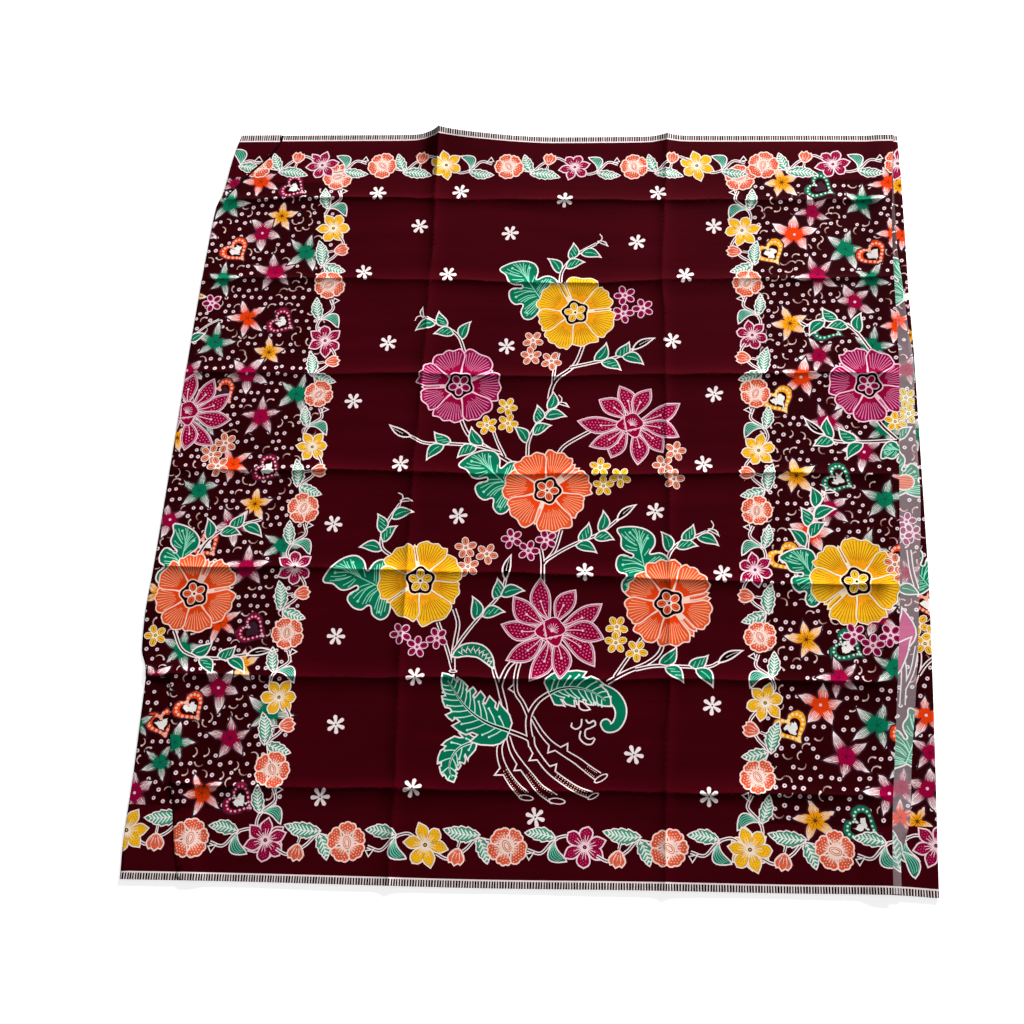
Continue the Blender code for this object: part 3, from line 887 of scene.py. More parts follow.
def crescent(art, at, dice):
    """A short curve, drawn out thin or as a row of dots."""
    reach = dice.uniform(0.0050, 0.0064)
    turn = dice.uniform(0, 360)
    arc = [at + reach * (spin(turn + 26 * step) - 0.6 * spin(turn + 65)) for step in range(6)]
    if dice.random() < 0.6:
        art.line(arc, 0.0021, ink(206, 172, 168), 0.0008)
        art.dot(arc[0], 0.0015, ink(222, 194, 192), 6)
        return
    for bead in range(8):
        share = bead / 7
        colour = mixed(ink(210, 176, 170), ink(130, 88, 84), share)
        art.dot(at_share(arc, share)[0], 0.00125 - 0.0004 * share, colour, 5)


# ---- stems, sprays and the vine ----


def stalks(*rows):
    """Stalks from rows of (places in millimetres, width, end width)."""
    return [(route(*numbers), width, end_width) for numbers, width, end_width in rows]


def stems(art, routes, thorns=(), cuts=()):
    """Branching stalks: two white lines with the ground between them, which runs on through the forks.

    A thorn is (number of the route, share along it, side, length); a cut end is (place, reach, turn).
    """
    paths = [(flowing(points), start, end) for points, start, end in routes]
    spikes = []
    for number, share, side, length in thorns:
        path, start, end = paths[number]
        place, way = at_share(path, share)
        half = (start + (end - start) * share) / 2
        foot = place + 1j * way * side * half * 0.20
        spikes.append([foot - way * 0.0062, foot + 1j * way * side * (half + length) + way * 0.0010,
                       foot + way * 0.0085])
    for path, start, end in paths:
        art.line(path, start, WAX, end)
    for spike in spikes:
        art.fill(spike, WAX)
    for path, start, end in paths:
        line = 0.0025 + 0.08 * start
        art.line(path, max(0.0009, start - line), GROUND, max(0.0008, end - line))
    for spike in spikes:
        art.stack(spike, -0.0017, GROUND)
    for place, reach, turn in cuts:
        art.dot(place, reach, WAX, 12, turn, 0.38)
        art.dot(place, reach - 0.0019, GROUND, 12, turn, 0.32)


def dot_rows(art, stalk, low, high, pitch=0.0030):
    """Fine pale dots in two rows inside the lower part of a thick stalk."""
    points, start, end = stalk
    path = flowing(points, 8)
    count = max(2, round(abs(path[-1] - path[0]) * (high - low) / pitch))
    for number in range(count + 1):
        share = low + (high - low) * number / count
        place, way = at_share(path, share)
        aside = (start + (end - start) * share) * 0.5 - 0.0032
        for side in (1, -1):
            art.dot(place + 1j * way * side * aside, 0.00065, CREAM, 5)


STALKS = stalks(
    ((-26, -350, -31, -365, -28, -382, -19, -399, -8, -413, 3, -423), 0.0062, 0.0135),
    ((-21, -350, -15, -368, -5, -383, 8, -399, 21, -414, 39, -426), 0.0060, 0.0140),
    ((8, -350, 10, -362, 19, -376, 32, -391, 50, -404, 67, -414, 84, -420), 0.0085, 0.0100),
    ((8, -325, 20, -344, 33, -358, 48, -368, 65, -378, 80, -389, 92, -397), 0.0056, 0.0125),
    ((9, -362, 4, -338, 5, -322, 14, -306, 28, -295, 42, -289), 0.0090, 0.0056),
    ((-24, -342, -6, -348, 6, -354, 13, -366), 0.0060, 0.0064),
    ((-24, -332, -27, -312, -32, -294, -33, -284, -25, -263, -13, -250), 0.0080, 0.0066),
    ((-31, -302, -36, -284, -41, -271, -44, -260), 0.0062, 0.0050),
    ((5, -327, -4, -308, -13, -294, -14, -274, -11, -258, -7, -246), 0.0060, 0.0062))
STALK_THORNS = (
    (0, 0.50, -1, 0.0100), (1, 0.42, -1, 0.0070), (2, 0.28, -1, 0.0085), (2, 0.50, 1, 0.0075),
    (3, 0.36, -1, 0.0080), (3, 0.48, 1, 0.0085), (8, 0.44, 1, 0.0065))
STALK_CUTS = (
    (mm(4, -425), 0.0098, -6), (mm(42, -428), 0.0108, -4), (mm(86, -421), 0.0080, 28),
    (mm(95, -399), 0.0100, 32))
STALK_DOTS = ((0, 0.52, 0.96), (1, 0.56, 0.94), (2, 0.58, 0.94), (3, 0.80, 0.94))  # (number, low, high)


def spray(art, numbers, leaves, end, size, first=1):
    """A thin stalk with leaves on alternate sides and a bud or a curled tip at its end."""
    path = flowing(route(*numbers))
    art.line(path, 0.0052, WAX, 0.0044)
    art.line(path, 0.0021, GROUND, 0.0015)
    for number, share in enumerate(leaves):
        side = first if number % 2 == 0 else -first
        place, way = at_share(path, share)
        root = place + way * 1j * side * 0.0022
        tip = root + way * spin(side * (46 - 8 * (number % 3))) * size * (1.0 - 0.06 * (number % 3))
        plain_leaf(art, root, tip, size * 0.50, -0.15 * side, 3 if number % 4 in (1, 2) else 1)
    place, way = at_share(path, 1.0)
    if end == "bud":
        tip = place + way * size * 1.05
        art.stack(almond(place - way * 0.002, tip, size * 0.32, 0.06, 0.45), 0.0009, WAX, -0.0010, CORE)
        art.line(midline(place, tip, 0.06, 0.30, 0.80), 0.0007, WAX, 0.0004)
    elif end == "curl":
        for side in (1, -1):
            hook = [place, place + way * 0.006, place + way * 0.012 + way * 1j * side * 0.004,
                    place + way * 0.012 + way * 1j * side * 0.011]
            art.line(flowing(hook), 0.0018, WAX, 0.0012)
        fold = almond(place + way * 0.004 + way * 1j * 0.002, place + way * 0.012 - way * 1j * 0.012,
                      0.004, 0.1)
        art.edged(fold, CORE, 0.0014)


UNIT = 0.193  # length of one vine unit as it is drawn below


def vine_unit(art, start, end, side, colours, seed, width=1.0, from_peony=False):
    """The vine from one flower to the next: leaves and bud, peony, thorned stem and banana leaf."""
    run = (end - start) / UNIT
    cross = 1j * side * (end - start) / abs(end - start) * width
    size = min(1.0, abs(run)) * width

    def along(*numbers):
        return [start + run * x / 1000 + cross * y / 1000 for x, y in zip(numbers[::2], numbers[1::2])]

    routes = [(along(124, -4, 140, -8, 152, 4, 160, 10), 0.0044, 0.0040),
              (along(158, 10, 172, 13, 184, 6), 0.0042, 0.0040)]
    if not from_peony:
        routes.append((along(14, -10, 26, -16, 36, -13, 50, -4, 62, 8, 78, 6), 0.0042, 0.0042))
    stems(art, routes)
    art.edged(along(122, -9, 126, -16, 132, -7), CORE, 0.0014)
    if not from_peony:
        toothed_leaf(art, *along(64, 10, 76, -21), 0.0185 * size, 0.05 * side, 4, 6)
        toothed_leaf(art, *along(66, 13, 22, 19), 0.0205 * size, 0.06 * side, 5, 8)
        art.line(along(42, 6, 40, -2), 0.0034, WAX)
        art.line(along(42, 6, 40, -2), 0.0012, CORE)
        bud(art, *along(41, -1, 36, -24), 0.021 * size)
    toothed_leaf(art, *along(158, 10, 121, 16), 0.0180 * size, -0.05 * side, 4, 7)
    banana_leaf(art, *along(157, 8, 171, -17), 0.0150 * size, -0.34 * side)
    peony(art, *along(99, 0), 0.0238 * size, bearing(end - start) + 20 * seed, seed)
    vine_flower(art, end, 0.0265 * size, bearing(end - start) + 31 * seed, colours, seed)


def vine(art, flowers, side, seed, width=1.0, first_from_peony=False):
    """A vine through its flowers: a row of (x, y, colours) in millimetres."""
    for number, (first, second) in enumerate(zip(flowers, flowers[1:])):
        vine_unit(art, mm(*first[:2]), mm(*second[:2]), side, second[2], seed + number, width,
                  first_from_peony and number == 0)


# ---- the layout of the print ----

TOP_ROW = ((596, 470, MAGENTAS), (408, 474, MAGENTAS), (217, 474, YELLOWS), (43, 474, MAGENTAS),
           (-143, 478, YELLOWS), (-326, 482, MAGENTAS), (-512, 484, YELLOWS))
BOTTOM_ROW = ((-508, -486, YELLOWS), (-315, -485, MAGENTAS), (-117, -485, YELLOWS), (77, -482, MAGENTAS),
              (274, -479, YELLOWS), (470, -477, MAGENTAS))
LEFT_VINE = ((-303, 552, YELLOWS), (-301, 376, YELLOWS), (-298, 197, MAGENTAS), (-302, 37, YELLOWS),
             (-310, -134, MAGENTAS), (-315, -307, YELLOWS), (-315, -485, MAGENTAS))
RIGHT_VINE = ((277, 545, YELLOWS), (279, 368, YELLOWS), (290, 205, MAGENTAS), (295, 36, YELLOWS),
              (287, -129, MAGENTAS), (296, -301, YELLOWS), (274, -479, YELLOWS))

Motif = namedtuple("Motif", "kind x y reach colours turn")


def motifs(*rows):
    """Motifs from rows of (kind, x, y, reach, colours, turn), with the lengths in millimetres."""
    return [Motif(kind, x / 1000, y / 1000, reach / 1000, colours, turn)
            for kind, x, y, reach, colours, turn in rows]


LEFT_SIDE = motifs(
    ("yellow", -374, 177, 23.5, YELLOWS, 90), ("dot", -402, 146, 30, MAGENTAS, 48),
    ("heart", -435, 116, 21.5, ORANGES, 40), ("plain", -377, 83, 31, MAGENTAS, 72),
    ("plain", -450, 74, 26, TEALS, 50), ("plain", -410, 232, 28, ORANGES, 110),
    ("plain", -453, 195, 30, TEALS, 75), ("plain", -333, 116, 31, TEALS, 130),
    ("heart", -361, 223, 20.5, MAGENTAS, 60), ("dot", -488, 152, 26, MAGENTAS, 10),
    ("yellow", -492, 48, 22, YELLOWS, 60))
RIGHT_SIDE = motifs(
    ("yellow", 340, 222, 27, YELLOWS, 105), ("heart", 394, 214, 22, TEALS, 60),
    ("plain", 379, 174, 27, MAGENTAS, 95), ("dot", 354, 140, 31, ORANGES, 60),
    ("heart", 322, 108, 22, YELLOWS, 30), ("plain", 423, 116, 32, TEALS, 70),
    ("heart", 462, 106, 21.5, ORANGES, 35), ("plain", 384, 76, 31, MAGENTAS, 100),
    ("plain", 458, 67, 27, TEALS, 45), ("plain", 485, 220, 27, ORANGES, 80),
    ("plain", 449, 188, 31, TEALS, 80), ("dot", 433, 33, 28, MAGENTAS, 30),
    ("dot", 492, 140, 26, ORANGES, 90))


def repeated(rows, drift, low, high, seed):
    """Motifs of one repeat placed up and down a side ground, each a little off its place."""
    dice = random.Random(seed)
    placed = []
    for repeat in range(-4, 3):
        for number, motif in enumerate(rows):
            at = complex(motif.x + drift * repeat, motif.y + SIDE_PERIOD * repeat)
            at += complex(dice.uniform(-0.002, 0.002), dice.uniform(-0.002, 0.002))
            if low.imag - 0.012 < at.imag < high.imag + 0.012:
                placed.append((at, motif, 100 * repeat + number))
    return placed


def side_ground(art, placed, outline, low, high, seed, pitch=0.0122):
    """The ground beside the vines: starflowers and hearts among white rings and crescents."""
    dice = random.Random(seed)
    art.fill(outline, SIDE_GROUND)
    for row in range(int((high.imag - low.imag) / pitch) + 1):
        for column in range(int((high.real - low.real) / pitch) + 1):
            at = low + pitch * complex(column + 0.5 * (row % 2), row)
            at += complex(dice.uniform(-0.0024, 0.0024), dice.uniform(-0.0024, 0.0024))
            kind = dice.random()
            if any(abs(at - place) < motif.reach * 0.80 for place, motif, _ in placed):
                continue
            if kind < 0.60:
                dot_ring(art, at, dice)
            elif kind < 0.86:
                crescent(art, at, dice)
    for at, motif, number in placed:
        if motif.kind == "heart":
            beaded_heart(art, at, motif.reach, motif.turn, motif.colours, number)
        else:
            star(art, at, motif.reach, motif.turn + 7 * (number % 5), motif.colours, number, motif.kind)


def side_print(rows, outline, low, high, seed):
    """A print that begins with a side ground whose motifs stand where they are."""
    art = Print()
    placed = [(complex(motif.x, motif.y), motif, number) for number, motif in enumerate(motifs(*rows))]
    side_ground(art, placed, outline, low, high, seed)
    return art


def trio(art, numbers, reach, colours, seed):
    """Three blossoms that touch."""
    for number, at in enumerate(route(*numbers)):
        blossom(art, at, reach, 37 * (seed + number), colours, seed + number)


def side_bouquets(art):
    """The parts of the large flowers that reach over the side grounds."""
    spray(art, (-445, -125, -431, -99, -412, -83, -389, -76, -362, -68), (0.26, 0.44, 0.60, 0.78),
          "none", 0.030)
    lobed_leaf(art, mm(-464, -146), mm(-480, -76), 1, 0.80)
    spray(art, (-462, -222, -445, -250, -405, -258, -360, -252), (0.42, 0.52, 0.70, 0.80), "bud", 0.030)
    lotus(art, mm(-482, 88), 0.062, 20, 5)
    trio(art, (-422, 42, -441, 25, -429, 8), 0.0150, SALMONS, 3)
    rosette(art, mm(-441, -172), 0.055, 15, ORANGES, 4)
    blossom(art, mm(-486, -229), 0.0145, 40, YELLOWS, 3)
    stems(art, stalks(((-492, 190, -482, 208, -466, 222, -452, 230), 0.0034, 0.0030)))
    blossom(art, mm(-465, 256), 0.0140, 40, MAGENTAS, 6)
    plain_leaf(art, mm(-490, 195), mm(-470, 208), 0.012, 0.1)

    stems(art, stalks(((443, 100, 455, 73, 475, 51), 0.0060, 0.0056)))
    spray(art, (446, 184, 429, 210, 410, 224, 385, 228, 368, 222), (0.22, 0.38, 0.56, 0.72),
          "curl", 0.030, -1)
    spray(art, (474, 50, 434, 49, 395, 50, 380, 61), (0.36, 0.42, 0.68, 0.74), "bud", 0.031)
    spray(art, (352, -116, 355, -85, 362, -56, 377, -27), (0.20, 0.35, 0.50, 0.65, 0.80), "curl", 0.031)
    lobed_leaf(art, mm(372, -150), mm(318, -112))
    rosette(art, mm(441, 131), 0.052, 40, MAGENTAS, 7)
    rosette(art, mm(414, -143), 0.056, 10, YELLOWS, 8)
    trio(art, (408, -212, 430, -226, 452, -213), 0.0150, MAGENTAS, 9)
    trio(art, (462, -120, 474, -136), 0.0140, SALMONS, 12)
    lobed_leaf(art, mm(494, 36), mm(453, 25))
    blossom(art, mm(473, 77), 0.0140, 14, YELLOWS, 14)


SCATTER = route(
    -240, 433, -120, 434, 30, 419, 162, 429, -176, 378, -46, 366, 133, 350, 240, 375, -251, 304, -131, 300,
    200, 297, -209, 193, -44, 188, 182, 196, -251, 105, 238, 117, -180, 13, 223, 16, -264, -73, -98, -60,
    160, -51, 70, -135, 246, -135, -248, -226, -142, -277, 231, -306, -239, -340, 135, -369, -251, -431,
    -137, -417, 226, -418, 16, -448)
BOUQUET_STALKS = stalks(
    ((-97, -187, -91, -206, -93, -227, -95, -246, -94, -268), 0.0056, 0.0062),
    ((-117, -205, -110, -223, -102, -244, -95, -266), 0.0052, 0.0050),
    ((172, -220, 166, -240, 150, -254, 124, -266, 101, -280), 0.0058, 0.0062),
    ((143, -222, 127, -246, 110, -272), 0.0050, 0.0052),
    ((16, -150, 15, -122, 12, -104), 0.0062, 0.0052),
    ((15, -126, 30, -106, 38, -78), 0.0054, 0.0052),
    ((30, 27, 41, 42, 74, 63), 0.0056, 0.0054),
    ((-28, 14, -42, 23, -70, 41, -91, 57, -104, 84), 0.0062, 0.0058),
    ((-40, 24, -50, 44, -57, 62), 0.0050, 0.0046),
    ((17, 109, 20, 126, 28, 140, 50, 160, 62, 192), 0.0064, 0.0056),
    ((21, 128, 23, 154, 28, 178), 0.0048, 0.0044))
# (places, shares of the leaves, end, size, side of the first leaf)
BOUQUET_SPRAYS = (
    ((-47, 30, -78, 40, -120, 43, -150, 44, -170, 54), (0.20, 0.25, 0.46, 0.52), "bud", 0.031, -1),
    ((-10, 24, -9, 47, 1, 71, 15, 89, 27, 99), (0.22, 0.36, 0.52, 0.66, 0.80), "curl", 0.029, 1),
    ((-102, 180, -112, 204, -134, 220, -158, 232), (0.24, 0.42, 0.60, 0.80), "curl", 0.029, -1),
    ((44, 156, 81, 165, 110, 173, 130, 184), (0.30, 0.38, 0.62, 0.72), "bud", 0.031, 1),
    ((27, 284, 30, 306, 48, 330, 76, 348), (0.26, 0.40, 0.56, 0.74), "curl", 0.029, 1),
    ((-184, -116, -196, -106, -198, -90, -190, -66, -177, -44), (0.22, 0.40, 0.56, 0.78), "curl", 0.030, 1),
    ((-94, -242, -83, -223, -64, -197, -44, -174, -35, -159, -32, -145), (0.36, 0.42, 0.60, 0.68), "bud",
     0.031, 1),
    ((136, -262, 160, -257, 191, -257, 225, -257, 241, -250), (0.30, 0.36, 0.58, 0.64), "bud", 0.031, 1),
    ((174, -122, 180, -106, 191, -94, 211, -85, 226, -78), (0.22, 0.40, 0.56, 0.78), "curl", 0.029, 1),
    ((18, -121, 38, -107, 60, -95, 88, -82, 112, -62), (0.46, 0.52, 0.68, 0.76), "bud", 0.029, -1))
BOUQUET_TRIOS = (
    ((117, 266, 115, 238, 142, 246), 0.0148, MAGENTAS, 1),
    ((-8, 197, -10, 173, 18, 166), 0.0142, SALMONS, 21),
    ((-40, 97, -66, 70, -38, 73), 0.0140, YELLOWS, 31), ((186, 34, 170, 14, 184, -6), 0.0140, SALMONS, 41),
    ((87, 10, 114, -4, 92, -16), 0.0140, YELLOWS, 51),
    ((-86, -104, -58, -112, -82, -130), 0.0145, SALMONS, 61),
    ((-26, -91, -4, -107, 19, -92), 0.0142, MAGENTAS, 71),
    ((-164, -221, -142, -238, -117, -226), 0.0142, MAGENTAS, 81),
    ((112, -207, 111, -228, 137, -238), 0.0142, YELLOWS, 91))
BOUQUET_ROSETTES = (
    (mm(49, 240), 0.054, 10, YELLOWS, 1), (mm(-106, 129), 0.055, 30, MAGENTAS, 2),
    (mm(18, -23), 0.055, 50, ORANGES, 3), (mm(-143, -150), 0.056, 0, YELLOWS, 5),
    (mm(178, -175), 0.055, 20, ORANGES, 6))


def bouquet(art):
    """The large bouquet of the kepala, the panel between the two upright vines."""
    stems(art, BOUQUET_STALKS, cuts=((mm(-94, -269), 0.0056, 0),))
    for row in BOUQUET_SPRAYS:
        spray(art, *row)
    for ends in ((2, 259, -58, 308), (-29, -22, -101, 12), (-187, -163, -271, -152), (150, -141, 111, -76)):
        lobed_leaf(art, *route(*ends))
    stems(art, STALKS, STALK_THORNS, STALK_CUTS)
    for number, low, high in STALK_DOTS:
        dot_rows(art, STALKS[number], low, high)
    rib_leaf(art, route(-62, -357, -80, -365, -90, -378, -92, -393, -86, -408), 0.036, 0.35, 4, 5, 6,
             0.30, 0.0016)
    rib_leaf(art, route(-20, -343, -47, -334, -68, -321, -83, -306, -94, -290, -107, -272),
             0.058, 0.24, 5, 2, 11, 0.35, 0.0028)
    feathered_leaf(art, route(-96, -250, -80, -241, -62, -242, -50, -252, -43, -264), 0.0175)
    acanthus(art)
    for row in BOUQUET_TRIOS:
        trio(art, *row)
    lotus(art, mm(128, 73), 0.062, 28, 1, 0.12)
    lotus(art, mm(30, -213), 0.067, 28, 2)
    for row in BOUQUET_ROSETTES:
        rosette(art, *row)


def acanthus(art):
    """A curling leaf with a hooked tip, a round notch and small open tendrils below."""
    tail = flowing(route(92, -290, 108, -297, 117, -309, 118, -322, 112, -334, 102, -337, 97, -331))
    hook = facing_out(ribbon(tail, 0.0180, 0.0075))
    for by, colour in ((0.0012, WAX), (-0.0007, TEAL)):
        art.stack(hook, by, colour)
        art.dot(mm(100, -332), 0.0062 + by, colour, 12)
    rib_leaf(art, route(29, -295, 42, -289, 59, -287, 77, -290, 92, -297, 106, -309),
             0.045, 0.34, 4, 3, 9, 0.66, 0.0024)
    art.fill(grown(hook[6:-6], -0.0012), TEAL)
    art.edged(almond(mm(80, -314), mm(66, -303), 0.0085, 0.15, 0.6), GROUND, 0.0018)
    for curve in ((70, -326, 69, -335, 63, -339, 57, -336), (57, -336, 58, -331),
                  (69, -341, 68, -350, 75, -357, 83, -357, 87, -350),
                  (75, -327, 79, -331, 85, -328, 87, -333, 81, -337, 75, -340, 75, -348, 80, -351, 86, -349)):
        art.line(flowing(route(*curve)), 0.0021, WAX, 0.0017)


def hem_lines(art, hem, inward, line_in=HEM_LINE):
    """The printed line above a hem and the close ticks between it and the edge."""
    x_values = [-0.52 + 0.0033 * step for step in range(320)]
    line = [complex(x, read_curve(hem.rows, x) + inward * line_in) for x in x_values[::4]]
    band = line + [complex(x, read_curve(hem.rows, x) - inward * 0.004) for x in x_values[::-4]]
    art.fill(band, CORE)
    art.line(line, 0.0019, WAX)
    for number, x in enumerate(x_values):
        y = read_curve(hem.rows, x)
        lean = 0.0004 * math.sin(0.7 * number)
        art.line([complex(x, y - inward * 0.003), complex(x + lean, y + inward * line_in)],
                 0.0012 + 0.0003 * math.sin(1.9 * number), WAX)


def both_hems(art):
    """The printed lines above both hems."""
    hem_lines(art, top_hem, -1)
    hem_lines(art, bottom_hem, 1)


def main_print():
    """The print of the upper layer, with a painted shadow beside the corner pleat."""
    art = Print()
    left_edge = route(-560, -450, -316, -448, -312, -134, -304, 37, -300, 197, -304, 376, -312, 452,
                      -560, 454)
    right_edge = route(560, -448, 560, 448, 282, 450, 280, 368, 291, 205, 295, 36, 292, -129, 294, -301,
                       290, -448)
    low, high = mm(-530, -442), mm(-304, 446)
    side_ground(art, repeated(LEFT_SIDE, -0.003, low, high, 11), left_edge, low, high, 11)
    low, high = mm(298, -440), mm(520, 440)
    side_ground(art, repeated(RIGHT_SIDE, -0.004, low, high, 12), right_edge, low, high, 12)
    vine(art, LEFT_VINE, -1, 30, 1.0, True)
    vine(art, RIGHT_VINE, 1, 40, 1.0, True)
    vine(art, TOP_ROW, 1, 10, 0.92)
    vine(art, BOTTOM_ROW, 1, 20)
    side_bouquets(art)
    for number, at in enumerate(SCATTER):
        scatter_flower(art, at, 13 * number)
    bouquet(art)
    both_hems(art)
    # painted shadow: a dark line beside the corner pleat's fold, standing in for the shade where so little
    # light falls that the cloth looks black
    ys = np.linspace(CORNER_HIGH, CORNER_LOW + 0.004, 12)
    fold = [complex(float(corner_pleat_fold(y)) + 0.0006, y) for y in ys]
    art.line(fold, 0.0052, mixed(GROUND, CORE, 0.6), 0.0024)
    art.line(fold, 0.0034, CORE, 0.0012)
    return art


def pleat_print():
    """The print on the lower left pleat, which is out of step with the upper layer's."""
    art = side_print((("heart", -462, -345, 21, ORANGES, 20), ("plain", -459, -393, 24, TEALS, 60),
                      ("dot", -487, -432, 29, MAGENTAS, 85), ("plain", -497, -345, 24, TEALS, 10)),
                     block(-560, -448, -300, -200), mm(-510, -440), mm(-400, -280), 31)
    art.fill(block(-560, -560, -300, -446), GROUND)
    stems(art, stalks(((-474, -490, -464, -494, -452, -486, -438, -478, -424, -462), 0.0042, 0.0042),
                      ((-452, -471, -453, -480), 0.0034, 0.0034)))
    toothed_leaf(art, mm(-424, -457), mm(-470, -462), 0.021, 0.05, 5, 8)
    bud(art, mm(-453, -478), mm(-453, -502), 0.023)
    vine_flower(art, mm(-491, -478), 0.027, 10, YELLOWS, 4)
    hem_lines(art, bottom_hem, 1)
    return art


def corner_print():
    """The print on the pleat over the upper left corner."""
    art = side_print((("plain", -407, 453, 23, ORANGES, 30), ("plain", -453, 451, 19, MAGENTAS, 60),
                      ("plain", -448, 420, 24, TEALS, 40)),
                     block(-560, 300, -300, 462), mm(-480, 410), mm(-385, 458), 32)
    art.fill(block(-560, 462, -300, 600), GROUND)
    stems(art, stalks(((-448, 485, -434, 490, -421, 486, -404, 491, -392, 498), 0.0040, 0.0040)))
    art.edged(route(-428, 489, -421, 497, -415, 488), CORE, 0.0014)
    toothed_leaf(art, mm(-450, 481), mm(-416, 471), 0.018, 0.05, 4)
    banana_leaf(art, mm(-448, 484), mm(-458, 510), 0.016, -0.2)
    peony(art, mm(-395, 480), 0.0125, 30, 3)
    hem_lines(art, top_hem, -1, 0.0106)
    return art


def margin_print():
    """The print past the seam, on the cloth that has come round the right fold."""
    art = side_print((
        ("yellow", 499, 438, 24, YELLOWS, 75), ("plain", 498, 358, 24, ORANGES, 40),
        ("heart", 497, 262, 21, MAGENTAS, 10), ("yellow", 499, 205, 20, YELLOWS, 20),
        ("plain", 500, 158, 24, TEALS, 30), ("plain", 494, 60, 24, TEALS, 0),
        ("heart", 501, -172, 19, ORANGES, 15), ("dot", 490, -312, 27, ORANGES, 80),
        ("plain", 492, -358, 24, MAGENTAS, 130), ("dot", 486, -401, 27, MAGENTAS, 50),
        ("yellow", 472, -440, 21, YELLOWS, 60)), block(400, -444, 560, 452), mm(446, -436), mm(506, 448), 33)
    art.fill(block(400, 450, 560, 560), GROUND)
    art.fill(block(400, -560, 560, -446), GROUND)
    stems(art, stalks(((484, -216, 486, -244, 476, -276, 462, -300), 0.0060, 0.0070),
                      ((506, -238, 494, -248, 484, -262), 0.0050, 0.0050)))
    lobed_leaf(art, mm(505, -150), mm(484, -84), -1, 0.9)
    trio(art, (487, -197, 494, -222, 505, -212), 0.0145, YELLOWS, 5)
    vine_unit(art, mm(305, -480), mm(492, -468), 1, MAGENTAS, 6)
    vine_flower(art, mm(498, 474), 0.026, 20, MAGENTAS, 7)
    banana_leaf(art, mm(452, -476), mm(466, -506), 0.015, 0.16)
    both_hems(art)
    return art


def strip_print():
    """The print as it shows through on the turned-out end of the cloth."""
    art = side_print((
        ("plain", 486, 226, 20, ORANGES, 20), ("plain", 492, 153, 23, MAGENTAS, 60),
        ("plain", 470, 190, 20, TEALS, 40), ("plain", 478, -130, 20, MAGENTAS, 10),
        ("plain", 455, -400, 26, MAGENTAS, 55), ("plain", 452, -436, 20, ORANGES, 20)),
        block(400, -444, 560, 452), mm(430, -436), mm(504, 448), 34)
    stems(art, stalks(((481, -100, 483, -127, 488, -152), 0.0066, 0.0066),
                      ((456, -214, 466, -250, 462, -300), 0.0070, 0.0080),
                      ((484, -226, 476, -258, 464, -282), 0.0060, 0.0060)))
    lobed_leaf(art, mm(494, 258), mm(482, 322), 1, 0.7)
    trio(art, (489, 112, 491, 89, 475, 78), 0.0145, YELLOWS, 7)
    plain_leaf(art, mm(476, 52), mm(494, 70), 0.013, 0.1, 3)
    lobed_leaf(art, mm(482, -22), mm(474, 46), -1, 0.8)
    art.edged(disc(mm(481, -8), 0.0125, 12, 20, 0.85), SALMON, 0.0018, CREAM)
    for number in range(5):
        art.line([mm(472, -14 + 3.4 * number), mm(490, -16 + 3.4 * number)], 0.0010, ink(176, 66, 52))
    trio(art, (480, -62, 486, -78, 474, -82), 0.0130, MAGENTAS, 8)
    plain_leaf(art, mm(464, -151), mm(491, -159), 0.015, 0.1)
    art.edged(almond(mm(456, -238), mm(468, -176), 0.024, -0.16, 0.5), ink(170, 60, 110), 0.0018)
    art.edged(almond(mm(458, -262), mm(478, -214), 0.020, 0.14, 0.5), ink(170, 60, 110), 0.0018)
    lobed_leaf(art, mm(462, -372), mm(470, -304), 1, 0.8)
    toothed_leaf(art, mm(450, -500), mm(442, -452), 0.022, 0.05, 4)
    both_hems(art)
    shown = art.faded(PALE, lambda y: read_curve(FADED, y))
    ground = Fade(mm(484, 600), mixed(SIDE_GROUND, PALE, 0.04), mixed(SIDE_GROUND, PALE, STRIP_FADE),
                  0.30, 0.43)
    shown.shapes[0] = (shown.shapes[0][0], ground)
    return shown


def back_print():
    """The print of the under layer: the side ground all over, between the two vines."""
    art = Print()
    placed = []
    for column in range(-3, 4):
        moved = [motif._replace(x=motif.x - 0.402 - 0.170 * column + 0.34) for motif in RIGHT_SIDE]
        placed += repeated(moved, 0.0, mm(-520, -440), mm(520, 440), 40 + column)
    placed = [(at, motif, number) for at, motif, number in placed if abs(at.real) < 0.53]
    side_ground(art, placed, block(-560, -560, 560, 560), mm(-510, -440), mm(510, 440), 45, 0.0270)
    art.fill(route(-560, 448, 560, 442, 560, 560, -560, 560), GROUND)
    art.fill(route(-560, -560, 560, -560, 560, -448, -560, -450), GROUND)
    vine(art, TOP_ROW, 1, 50, 0.92)
    vine(art, BOTTOM_ROW, 1, 60)
    art = art.plainer(FINEST_UNDER)
    both_hems(art)
    return art


# ---- the cloth's form ----


def ease(t):
    """0 to 1 with level ends."""
    t = np.clip(t, 0.0, 1.0)
    return t * t * (3 - 2 * t)


def wander(along, seed, pitch):
    """A slow uneven change between -1 and 1 along a line."""
    phases = (seed * 1.7, seed * 2.9 + 1.0, seed * 4.1 + 2.0)
    return (np.sin(along / pitch + phases[0]) * 0.5 + np.sin(along / pitch * 1.93 + phases[1]) * 0.3
            + np.sin(along / pitch * 3.7 + phases[2]) * 0.2)


def crease_y(crease, x):
    """y of a row crease at x, through its three read places."""
    left, middle, right = CREASE_X
    near = crease.y_left + (crease.y_middle - crease.y_left) * ease((x - left) / (middle - left))
    far = crease.y_middle + (crease.y_right - crease.y_middle) * ease((x - middle) / (right - middle))
    return np.where(x < middle, near, far)


def row_line(number, x):
    """y of a row crease at x, with its unevenness."""
    return crease_y(ROW_CREASES[number], x) + 0.0016 * wander(x, number + 1, 0.045)


